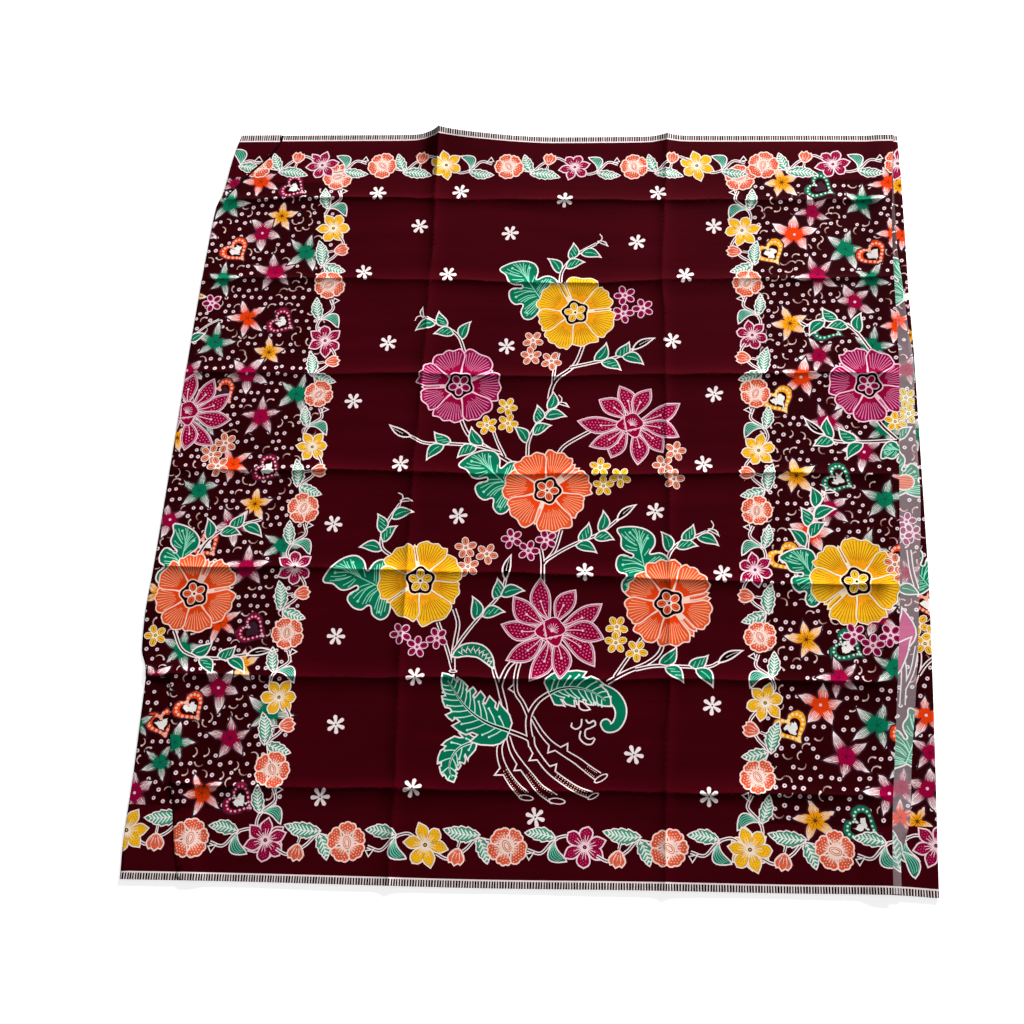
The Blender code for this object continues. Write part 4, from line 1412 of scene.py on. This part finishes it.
def column_line(column, y):
    """x of a column crease at y, with its unevenness."""
    return column.line(y) + 0.0012 * wander(y, column.seed, 0.040)


def ridge(distance, half_width):
    """A soft fold line: 1 at the crest, falling away on both sides."""
    fall = np.exp(-np.abs(distance) / (half_width * CREST_SHARPNESS))
    return np.where(np.abs(distance) > CREASE_REACH * half_width, 0.0, fall)


def crease_height(x, y):
    """Height of all the package's creases at a place on the upper layer."""
    height = np.zeros_like(x)
    for number, crease in enumerate(ROW_CREASES):
        strength = 0.86 + 0.26 * wander(x, number + 11, 0.070)
        height += crease.height * strength * ridge(y - row_line(number, x), crease.half_width)
    for column in COLUMNS:
        away = x - column_line(column, y)
        reach = np.where(away > 0, column.peak_right, column.peak_left)
        fade = np.exp(-np.maximum(0.0, top_hem(x) - y) / column.peak_fade)
        peak = column.peak * fade * np.exp(-np.abs(away) / reach)
        strength = 0.9 + 0.2 * wander(y, column.wobble, 0.06)
        height += (column.height * ridge(away, column.half_width) + peak) * strength
    return height


def edge_calm(x, y):
    """Creases flatten towards the folded sides, where the layers are bound together."""
    inward = np.minimum(x - left_fold(y), front_end(y) - x)
    return FOLD_CALM_LEAST + (1 - FOLD_CALM_LEAST) * ease(inward / FOLD_CALM)


def seam_line(y):
    """x of the sewn seam, hidden under the upper layer's end."""
    return front_end(y) - SEAM_HIDDEN


def pleat_overlap(y):
    """How far the upper layer covers the lower pleat."""
    share = (PLEAT_START_Y - y) / (PLEAT_START_Y - bottom_hem.rows[0][1])
    return PLEAT_OVERLAP_TOP + (PLEAT_OVERLAP_HEM - PLEAT_OVERLAP_TOP) * np.clip(share, 0.0, 1.0)


def front_rise(x, y):
    """How far the upper layer is lifted by what lies under it at the seam and at the lower pleat."""
    over_strip = 2 * LAYER * ease((x - (seam_line(y) - SEAM_RAMP)) / (SEAM_RAMP - GAP))
    past_pleat = x - (lower_pleat_fold(y) + pleat_overlap(y) + GAP)
    near_pleat = ease((PLEAT_START_Y + PLEAT_RAMP - y) / PLEAT_RAMP)
    return over_strip + LAYER * near_pleat * (1 - ease(past_pleat / PLEAT_RAMP))


def softness(x, y):
    """Slow shallow waves and short puckers of the pressed cotton."""
    slow = 0.00030 * np.sin(x / 0.052 + 1.3 * np.sin(y / 0.071)) * np.sin(y / 0.047 + 1.1 * np.sin(x / 0.083))
    weft = 0.00010 * np.sin(y / 0.0065 + 2.0 * np.sin(x / 0.11)) * np.sin(x / 0.09 + y / 0.05)
    return slow + weft


def fold_drop(inward, depth=FOLD_HALF, reach=FOLD_HALF):
    """How far a sheet's edge rounds down over a fold."""
    t = np.clip(1 - inward / reach, 0.0, 1.0)
    return depth * (1 - np.sqrt(np.maximum(0.0, 1 - t * t)))


def corner_lift(x, y):
    """How far the upper layer lifts beside and under the pleat over the upper left corner."""
    beside = np.maximum(0.0, x - corner_pleat_fold(y))
    return CORNER_LIFT * np.exp(-beside / CORNER_LIFT_REACH) * ease((y - CORNER_LOW) / CORNER_TUCK_RAMP)


# Each of these gives the height of a piece's print. The two for the under layer are upside down.
def front_height(x, y):
    raised = (crease_height(x, y) + softness(x, y)) * edge_calm(x, y)
    left = np.where(y < PLEAT_START_Y, lower_pleat_fold(y), left_fold(y))
    return FRONT_TOP + front_rise(x, y) + raised + corner_lift(x, y) - fold_drop(x - left)


def margin_height(x, y):
    return FRONT_TOP - fold_drop(right_fold(y) - x) + 0.3 * softness(x, y)


def strip_height(x, y):
    return STRIP_TOP + 0.4 * softness(x, y) - fold_drop(allowance_end(y) - x, 0.0006, 0.0015)


def lower_pleat_height(x, y):
    return FRONT_TOP + 0.3 * softness(x, y) - fold_drop(x - left_fold(y))


def corner_pleat_height(x, y):
    rise = crease_height(x, y) * edge_calm(x, y) * PLEAT_CLEARANCE
    edge = np.minimum(corner_pleat_fold(y) - x, x - left_fold(y))
    return STRIP_TOP + rise - fold_drop(edge, 0.0008, 0.0016)


def under_print(x, y):
    """The under layer's printed face, which rests on the floor."""
    return -fold_drop(np.minimum(x - left_fold(y), right_fold(y) - x))


def under_back(x, y):
    """The under layer's hidden face."""
    inward = np.minimum(x - left_fold(y), right_fold(y) - x)
    return -(UNDER_TOP + (FOLD_HALF + 0.0001 - UNDER_TOP) * np.clip(1 - inward / FOLD_HALF, 0, 1) ** 2)


# ---- meshes ----


def slope_normals(height, x, y, step=0.0010):
    """Unit normals of a height field, made steeper and then held under a limit."""
    dx = SLOPE_SHADE * (height(x + step, y) - height(x - step, y)) / (2 * step)
    dy = SLOPE_SHADE * (height(x, y + step) - height(x, y - step)) / (2 * step)
    held = np.maximum(1.0, np.hypot(dx, dy) / SLOPE_MOST)
    normals = np.stack([-dx / held, -dy / held, np.ones_like(dx)], axis=1)
    return normals / np.linalg.norm(normals, axis=1)[:, None]


def inner_grid(low, high, pitch):
    """Places on a square grid inside a box."""
    across = max(2, round((high.real - low.real) / pitch))
    along = max(2, round((high.imag - low.imag) / pitch))
    xs = np.linspace(low.real, high.real, across + 1)
    ys = np.linspace(low.imag, high.imag, along + 1)
    return [complex(x, y) for x in xs[1:-1] for y in ys[1:-1]]


def crest_distances(places):
    """How far each place stands from each crease, with its sign."""
    x, y = places.real, places.imag
    rows = [y - row_line(number, x) for number in range(len(ROW_CREASES))]
    return np.array(rows + [x - column_line(column, y) for column in COLUMNS])


def bent_over_creases(shapes):
    """The shapes with more corners on every edge that meets a crease, so that it bends with the cloth."""
    if not shapes:
        return shapes
    starts = np.concatenate([np.array(outline) for outline, _ in shapes])
    ends = np.concatenate([np.roll(np.array(outline), -1) for outline, _ in shapes])
    before, after = crest_distances(starts), crest_distances(ends)
    met = (before * after < 0) | (np.minimum(np.abs(before), np.abs(after)) < CREST_REACH)
    counts = np.where(met.any(axis=0), np.ceil(np.abs(ends - starts) / CREST_PITCH), 1).astype(int)
    counts = iter(np.maximum(counts, 1).tolist())
    bent = []
    for outline, colour in shapes:
        corners = []
        for start, end in sides_of(outline):
            count = next(counts)
            corners += [start + (end - start) * number / count for number in range(count)]
        bent.append((corners, colour))
    return bent


def crest_places(low, high):
    """Extra places along the creases and the corner pleat's fold, where the cloth bends most."""
    xs = np.arange(low.real, high.real, 0.006)
    lines = [(xs, row_line(number, xs), CREST_OFFSETS, 1j) for number in range(len(ROW_CREASES))]
    ys = np.arange(low.imag, high.imag, 0.008)
    lines += [(column_line(column, ys), ys, CREST_OFFSETS, 1) for column in COLUMNS]
    ys = np.arange(max(low.imag, CORNER_LOW), high.imag - 0.002, 0.005)
    lines.append((corner_pleat_fold(ys), ys, CORNER_OFFSETS, 1))
    places = []
    for xs, ys, offsets, way in lines:
        for offset in offsets:
            moved = [complex(x, y) + way * offset for x, y in zip(xs, ys)]
            places += [place for place in moved
                       if (low.imag < place.imag < high.imag if way == 1j
                           else low.real < place.real < high.real)]
    return places


def delaunay(places, faces, near):
    """Triangles over places, with the faces cut into them."""
    return delaunay_2d_cdt([Vector((place.real, place.imag)) for place in places], [], faces, 0, near, True)


def used_only(places, cells):
    """x and y of the places that the cells use, the cells among them, and each one's new number."""
    used = sorted({corner for cell in cells for corner in cell})
    index = {corner: number for number, corner in enumerate(used)}
    x = np.array([places[corner][0] for corner in used])
    y = np.array([places[corner][1] for corner in used])
    return x, y, wound(np.array([[index[corner] for corner in cell] for cell in cells]), x, y), index


def wound(triangles, x, y):
    """The triangles, each run to the left."""
    a, b, c = triangles.T
    wrong = (x[b] - x[a]) * (y[c] - y[a]) - (x[c] - x[a]) * (y[b] - y[a]) < 0
    triangles[wrong] = triangles[wrong][:, ::-1]
    return triangles


def rim_of(triangles):
    """The vertices round the one open edge of a patch, in order."""
    sides = np.concatenate([triangles[:, [0, 1]], triangles[:, [1, 2]], triangles[:, [2, 0]]])
    known = set(map(tuple, sides.tolist()))
    following = {a: b for a, b in known if (b, a) not in known}
    rim = [min(following)]
    while following[rim[-1]] != rim[0]:
        rim.append(following[rim[-1]])
    return rim


def stray_fills(places, cells, origins, shapes):
    """Numbers of the shapes whose fill ran out over the sheet, as a self-crossing outline's can."""
    filled = [0.0] * (len(shapes) + 1)
    for cell, origin in zip(cells, origins):
        a, b, c = (complex(*places[corner]) for corner in cell)
        area = abs(((b - a).conjugate() * (c - a)).imag) / 2
        for number in origin:
            filled[number] += area
    boxes = [box_of(shape) for shape, _ in shapes]
    return {number for number, (low, high) in enumerate(boxes, 1)
            if filled[number] > 1.02 * (high.real - low.real) * (high.imag - low.imag)}


def base_colour(base):
    """A plain colour for where a fade would otherwise be."""
    return base.inner if isinstance(base, Fade) else base


def corner_colours(triangles, inked, inks, x, y):
    """The print's colour at each corner of each triangle."""
    colours = np.ones((len(triangles), 3, 4))
    colours[:, :, :3] = np.array([base_colour(colour) for colour in inks])[inked][:, None, :]
    for number, colour in enumerate(inks):
        if isinstance(colour, Fade):
            chosen = np.nonzero(inked == number)[0]
            corners = triangles[chosen]
            away = np.hypot(x[corners] - colour.middle.real, y[corners] - colour.middle.imag)
            share = np.clip((away - colour.near) / (colour.far - colour.near), 0, 1)[:, :, None]
            colours[chosen, :, :3] = np.array(colour.inner) * (1 - share) + np.array(colour.outer) * share
    return colours


MAP_NAME = "OFBake"
MAP_BACK_SHARE = 0.06  # share of the map's height that the underside and the rim take
MAP_EDGE = 0.004


def flat_map(points, faces, top_count, low, high):
    """A flat map: the printed face over most of it, the underside in a strip below."""
    span = np.array([high.real - low.real, high.imag - low.imag])
    share = (points[:, :2] - np.array([low.real, low.imag])) / span
    chart = (MAP_EDGE + (1 - 2 * MAP_EDGE) * share)[faces]
    chart[:top_count, :, 1] = MAP_BACK_SHARE + (1 - MAP_BACK_SHARE) * chart[:top_count, :, 1]
    chart[top_count:, :, 1] = (MAP_BACK_SHARE - 0.01) * chart[top_count:, :, 1]
    return chart


def printed_sheet(name, outline, art, base, height, pitch=0.009, extra=(), under=None):
    """A closed thin shell over an outline, with the print cut into its upper face.

    With heights for its hidden face, both are given upside down, and the printed face looks at the floor.
    """
    outline = facing_out(outline)
    low, high = box_of(outline)
    shapes = list(art.near(low, high))
    if under is None:
        shapes = bent_over_creases(shapes)
    corners = list(outline)
    faces = [list(range(len(outline)))]
    for shape, _ in shapes:
        faces.append(list(range(len(corners), len(corners) + len(shape))))
        corners += shape
    corners += inner_grid(low, high, pitch) + list(extra)
    places, _, cells, _, _, origins = delaunay(corners, faces, 1e-7)
    inks = [base] + [colour for _, colour in shapes]
    astray = stray_fills(places, cells, origins, shapes)
    kept, inked = [], []
    for cell, origin in zip(cells, origins):
        if 0 in origin:
            middle = sum(complex(*places[corner]) for corner in cell) / 3
            kept.append(cell)
            inked.append(max(number for number in origin
                             if number not in astray or inside(middle, shapes[number - 1][0])))
    top_x, top_y, triangles, _ = used_only(places, kept)
    rim = rim_of(triangles)
    count = len(top_x)

    below = [complex(top_x[corner], top_y[corner]) for corner in rim]
    below += inner_grid(low, high, pitch * 1.5) + list(extra)
    places, _, cells, sources, _, origins = delaunay(below, [list(range(len(rim)))], 1e-9)
    cells = [cell for cell, origin in zip(cells, origins) if origin]
    low_x, low_y, low_triangles, index = used_only(places, cells)
    rim_below = {source: number + count for corner, number in index.items() for source in sources[corner]
                 if source < len(rim)}

    top_z = height(top_x, top_y)
    low_z = height(low_x, low_y) - CLOTH if under is None else under(low_x, low_y)
    points = np.concatenate([np.stack([top_x, top_y, top_z], 1), np.stack([low_x, low_y, low_z], 1)])
    walls = []
    for position, corner in enumerate(rim):
        after = (position + 1) % len(rim)
        walls += [(corner, rim_below[position], rim_below[after]), (corner, rim_below[after], rim[after])]
    faces = np.concatenate([triangles, low_triangles[:, ::-1] + count, np.array(walls)])

    normals = np.concatenate([slope_normals(height, top_x, top_y), -slope_normals(height, low_x, low_y)])
    normals = normals[faces]
    sides = points[np.array(walls)]
    outward = np.cross(sides[:, 1] - sides[:, 0], sides[:, 2] - sides[:, 0])
    outward /= np.maximum(np.linalg.norm(outward, axis=1), 1e-12)[:, None]
    normals[-len(walls):] = outward[:, None, :]
    colours = corner_colours(triangles, np.array(inked), inks, top_x, top_y)
    plain = np.tile(np.array((*base_colour(base), 1.0)), (len(faces) - len(triangles), 3, 1))
    colours = np.concatenate([colours, plain])
    chart = flat_map(points, faces, len(triangles), low, high)
    if under is not None:
        points[:, 2] *= -1
        normals[:, :, 2] *= -1
        faces, normals, colours, chart = faces[:, ::-1], normals[:, ::-1], colours[:, ::-1], chart[:, ::-1]

    mesh = bpy.data.meshes.new(name)
    mesh.from_pydata(points.tolist(), [], faces.tolist())
    mesh.polygons.foreach_set("use_smooth", [True] * len(faces))
    layer = mesh.color_attributes.new("print", "FLOAT_COLOR", "CORNER")
    layer.data.foreach_set("color", colours.astype(np.float32).ravel())
    uv_map = mesh.uv_layers.new(name=MAP_NAME)
    uv_map.data.foreach_set("uv", chart.astype(np.float32).ravel())
    mesh.normals_split_custom_set(normals.reshape(-1, 3).tolist())
    return linked(name, mesh)


def linked(name, data):
    """A new object in the scene."""
    piece = bpy.data.objects.new(name, data)
    bpy.context.scene.collection.objects.link(piece)
    return piece


# ---- materials ----

MIX_A, MIX_B, MIX_RESULT = 6, 7, 2  # a Mix node's colour sockets


def cotton(name, roughness, sheen, fade):
    """Printed cotton: the print's colours, uneven dye, fine weave, slubs and a faint wax crackle."""
    material = bpy.data.materials.new(name)
    material.use_nodes = True
    nodes, links = material.node_tree.nodes, material.node_tree.links

    def feed(node, values):
        for socket, value in values.items():
            if isinstance(value, bpy.types.NodeSocket):
                links.new(value, node.inputs[socket])
            else:
                node.inputs[socket].default_value = value
        return node

    def made(kind, values):
        return feed(nodes.new("ShaderNode" + kind), values)

    def texture(kind, scale, squash=(1.0, 1.0, 1.0)):
        mapping = made("Mapping", {"Scale": squash, "Vector": place.outputs["Object"]})
        return made("Tex" + kind, {"Scale": scale, "Vector": mapping.outputs["Vector"]})

    def blend(kind, factor, first, second):
        mix = nodes.new("ShaderNodeMix")
        mix.data_type = "RGBA"
        mix.blend_type = kind
        mix.clamp_result = False
        return feed(mix, {"Factor": factor, MIX_A: first, MIX_B: second}).outputs[MIX_RESULT]

    def ramp(source, low, high, dark, light):
        return made("MapRange", {"Value": source, "From Min": low, "From Max": high, "To Min": dark,
                                 "To Max": light}).outputs["Result"]

    def shaded(colour, source, low, high, dark, light):
        grey = ramp(source, low, high, dark, light)
        tint = made("CombineColor", {"Red": grey, "Green": grey, "Blue": grey})
        return blend("MULTIPLY", 1.0, colour, tint.outputs["Color"])

    place = made("TexCoord", {})
    inked = made("VertexColor", {})
    inked.layer_name = "print"
    dye = feed(texture("Noise", 9.0), {"Detail": 4.0})
    slub = feed(texture("Noise", 160.0, (0.06, 1.0, 1.0)), {"Detail": 2.0})
    warp = texture("Wave", 620.0)
    warp.bands_direction = "X"
    weft = texture("Wave", 620.0)
    weft.bands_direction = "Y"
    crackle = texture("Voronoi", 150.0)
    crackle.feature = "DISTANCE_TO_EDGE"

    colour = shaded(inked.outputs["Color"], dye.outputs["Fac"], 0.30, 0.70, 0.90, 1.10)
    colour = shaded(colour, slub.outputs["Fac"], 0.35, 0.75, 0.94, 1.08)
    colour = blend("MIX", ramp(crackle.outputs["Distance"], 0.0, 0.03, 0.16, 0.0), colour, (*GROUND, 1.0))
    if fade > 0:
        colour = blend("MIX", fade, colour, (*ink(214, 190, 194), 1.0))
    weave = made("Math", {0: warp.outputs["Fac"], 1: weft.outputs["Fac"]})
    weave.operation = "ADD"
    rough = made("Math", {0: slub.outputs["Fac"], 1: 2.0, 2: weave.outputs[0]})
    rough.operation = "MULTIPLY_ADD"
    bump = made("Bump", {"Strength": 0.14, "Distance": 0.0002, "Height": rough.outputs[0]})
    feed(nodes["Principled BSDF"], {
        "Base Color": colour, "Roughness": roughness, "Sheen Weight": sheen, "Sheen Roughness": 0.45,
        "Specular IOR Level": 0.012, "Normal": bump.outputs["Normal"]})
    return material


# ---- pieces ----


def run_y(curve, low, high, step=0.007):
    """Places up a side, where curve gives x at y."""
    ys = np.linspace(low, high, max(2, round(abs(high - low) / step)) + 1)
    return [complex(x, y) for x, y in zip(curve(ys), ys)]


def run_x(curve, low, high, step=0.007):
    """Places along a hem or a crease, where curve gives y at x."""
    xs = np.linspace(low, high, max(2, round(abs(high - low) / step)) + 1)
    return [complex(x, y) for x, y in zip(xs, curve(xs))]


def corner(side, level, guess_y):
    """Where a side line and a level line cross."""
    y = guess_y
    for _ in range(6):
        x = float(side(np.array(y)))
        y = float(level(np.array(x)))
    return x, y


def tile_outline(left, right, bottom, top):
    """The outline between two side curves and two level curves."""
    x0, y0 = corner(left, bottom, -0.3)
    x1, y1 = corner(right, bottom, -0.3)
    x2, y2 = corner(right, top, 0.3)
    x3, y3 = corner(left, top, 0.3)
    outline = run_x(bottom, x0, x1)[:-1] + run_y(right, y1, y2)[:-1]
    return outline + run_x(top, x2, x3)[:-1] + run_y(left, y3, y0)[:-1]


def front_left(y):
    """x of the upper layer's left edge: the fold, but for the two pleats."""
    y = np.asarray(y, float)
    tucked = CORNER_TUCK * ease((y - CORNER_LOW) / CORNER_TUCK_RAMP)
    return np.where(y < PLEAT_START_Y, lower_pleat_fold(y), left_fold(y) + tucked)


def front_tiles(art):
    """The upper layer in nine joined pieces, parted at the package's creases."""
    sides = (front_left, left_crease, right_crease, front_end)
    levels = (bottom_hem, lambda x: crease_y(ROW_CREASES[4], x), lambda x: crease_y(ROW_CREASES[2], x),
              top_hem)
    tiles = []
    for row, height in enumerate(("low", "mid", "top")):
        for column, side in enumerate(("left", "middle", "right")):
            outline = tile_outline(sides[column], sides[column + 1], levels[row], levels[row + 1])
            extra = crest_places(*box_of(outline))
            if row == 0 and column == 0:
                outline = with_pleat_step(outline)
            name = f"front_{height}_{side}"
            tiles.append(printed_sheet(name, outline, art, GROUND, front_height, extra=extra))
    return tiles


def with_pleat_step(outline):
    """The lower left tile's edge steps in square where the pleat begins."""
    above = [place for place in outline if not abs(place.real - float(front_left(place.imag))) < 1e-6]
    low_side = run_y(lower_pleat_fold, PLEAT_START_Y, float(bottom_hem(lower_pleat_fold(-0.53))))
    top = float(crease_y(ROW_CREASES[4], np.array(-0.50)))
    high_side = run_y(left_fold, top, PLEAT_START_Y + GAP)
    start = max(range(len(above)), key=lambda index: above[index].imag - above[index].real * 0.5)
    return above[start + 1:] + above[:start + 1] + high_side[1:] + low_side[:-1]


def lower_pleat_piece():
    """The lower end of the small pleat at the left, under the upper layer's edge."""
    outline = tile_outline(left_fold, lambda y: lower_pleat_fold(y) + pleat_overlap(y), bottom_hem,
                           lambda x: np.full_like(x, PLEAT_START_Y - GAP))
    return printed_sheet("lower_pleat_cloth", outline, pleat_print(), GROUND, lower_pleat_height, 0.006)


def corner_pleat_piece():
    """The pleat that slants over the upper left corner."""
    x0, y0 = corner(corner_pleat_fold, top_hem, 0.53)
    x1, y1 = corner(left_fold, top_hem, 0.53)
    outline = run_y(corner_pleat_fold, CORNER_LOW + 0.001, y0)[:-1] + run_x(top_hem, x0, x1)[:-1]
    outline += run_y(left_fold, y1, CORNER_LOW + 0.001)[:-1]
    return printed_sheet("corner_pleat_cloth", outline, corner_print(), GROUND, corner_pleat_height, 0.006)


def margin_piece():
    """The cloth that has come round the right fold and runs back to the seam."""
    outline = tile_outline(seam_line, right_fold, bottom_hem, top_hem)
    return printed_sheet("right_margin", outline, margin_print(), GROUND, margin_height)


def strip_piece():
    """The turned-out end of the cloth, wrong side up, a little short of the hems."""
    outline = tile_outline(seam_line, allowance_end, lambda x: bottom_hem(x) + 0.0008,
                           lambda x: top_hem(x) - 0.0008)
    return printed_sheet("strip_cloth", outline, strip_print(), mixed(GROUND, PALE, STRIP_FADE), strip_height,
                         0.006)


def under_pieces():
    """The under layer in two halves; its print faces the floor."""
    art = back_print()
    halves = []
    for name, left, right in (("back_left", left_fold, np.zeros_like),
                              ("back_right", np.zeros_like, right_fold)):
        outline = tile_outline(left, right, bottom_hem, top_hem)
        halves.append(printed_sheet(name, outline, art, GROUND, under_print, 0.014, under=under_back))
    return halves


# ---- stage, light and camera ----

FLOOR_REACH = 6.0
FLOOR_Z = -0.0003
WHITE = (1.0, 1.0, 1.0, 1.0)
CAMERA_PLACE = (0.1285, -0.6737, 1.7278)
CAMERA_TURNS = ((14.1153, "Z"), (20.3297, "X"), (-12.6922, "Z"))  # degrees
CAMERA_LENS = 49.22


def make_stage():
    """A plain pale floor."""
    mesh = bpy.data.meshes.new("floor")
    corners = ((-1, -1), (1, -1), (1, 1), (-1, 1))
    mesh.from_pydata([(x * FLOOR_REACH, y * FLOOR_REACH, FLOOR_Z) for x, y in corners], [], [(0, 1, 2, 3)])
    floor = linked("floor", mesh)
    material = bpy.data.materials.new("pale_floor")
    material.use_nodes = True
    shader = material.node_tree.nodes["Principled BSDF"]
    shader.inputs["Base Color"].default_value = (0.92, 0.92, 0.92, 1.0)
    shader.inputs["Roughness"].default_value = 0.9
    shader.inputs["Emission Color"].default_value = WHITE
    shader.inputs["Emission Strength"].default_value = 0.66
    mesh.materials.append(material)


def make_light(name, place, size, power):
    """A square soft light that looks at the middle of the cloth."""
    data = bpy.data.lights.new(name, "AREA")
    data.shape = "SQUARE"
    data.size = size
    data.energy = power
    light = linked(name, data)
    light.location = place
    light.rotation_mode = "QUATERNION"
    light.rotation_quaternion = (-Vector(place)).to_track_quat("-Z", "Y")


def make_world():
    """Even pale light from all round."""
    world = bpy.data.worlds.new("studio")
    world.use_nodes = True
    world.node_tree.nodes["Background"].inputs["Color"].default_value = WHITE
    world.node_tree.nodes["Background"].inputs["Strength"].default_value = 0.17
    bpy.context.scene.world = world


def make_camera():
    """The photograph's view: from above, a little to the right of the cloth."""
    data = bpy.data.cameras.new("camera")
    data.lens = CAMERA_LENS
    data.sensor_width = 36.0
    data.clip_start = 0.05
    data.clip_end = 50.0
    camera = linked("camera", data)
    camera.matrix_world = Matrix.Translation(CAMERA_PLACE)
    for degrees, axis in CAMERA_TURNS:
        camera.matrix_world = camera.matrix_world @ Matrix.Rotation(math.radians(degrees), 4, axis)
    bpy.context.scene.camera = camera


def declare(piece, node, material):
    """Give a piece of cloth its material, put it under the root body and hide the model's part that it stands
    for.
    """
    piece.data.materials.append(material)
    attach(piece, "root")
    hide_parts(node)
    xs = [place[0] for place in piece.bound_box]
    ys = [place[1] for place in piece.bound_box]
    area = sum(face.area for face in piece.data.polygons if abs(face.normal.z) > 0.5) / 2


def main():
    make_stage()
    make_world()
    make_light("key", (2.2, 4.8, 1.42), 1.0, 940.0)
    make_light("fill", (0.6, -0.8, 3.4), 2.6, 10.0)
    make_camera()
    settings = bpy.context.scene.view_settings
    settings.view_transform = "Standard"
    settings.look = "None"
    printed = cotton("printed_cotton", 0.85, 0.01, 0.0)
    wrong_side = cotton("cotton_wrong_side", 0.90, 0.02, 0.06)
    for tile in front_tiles(main_print()):
        declare(tile, "front_panel", printed)
    for half in under_pieces():
        declare(half, "back_panel", printed)
    declare(margin_piece(), "back_panel", printed)
    declare(strip_piece(), "seam_allowance", wrong_side)
    declare(lower_pleat_piece(), "lower_left_pleat", printed)
    declare(corner_pleat_piece(), "top_left_pleat", printed)


main()
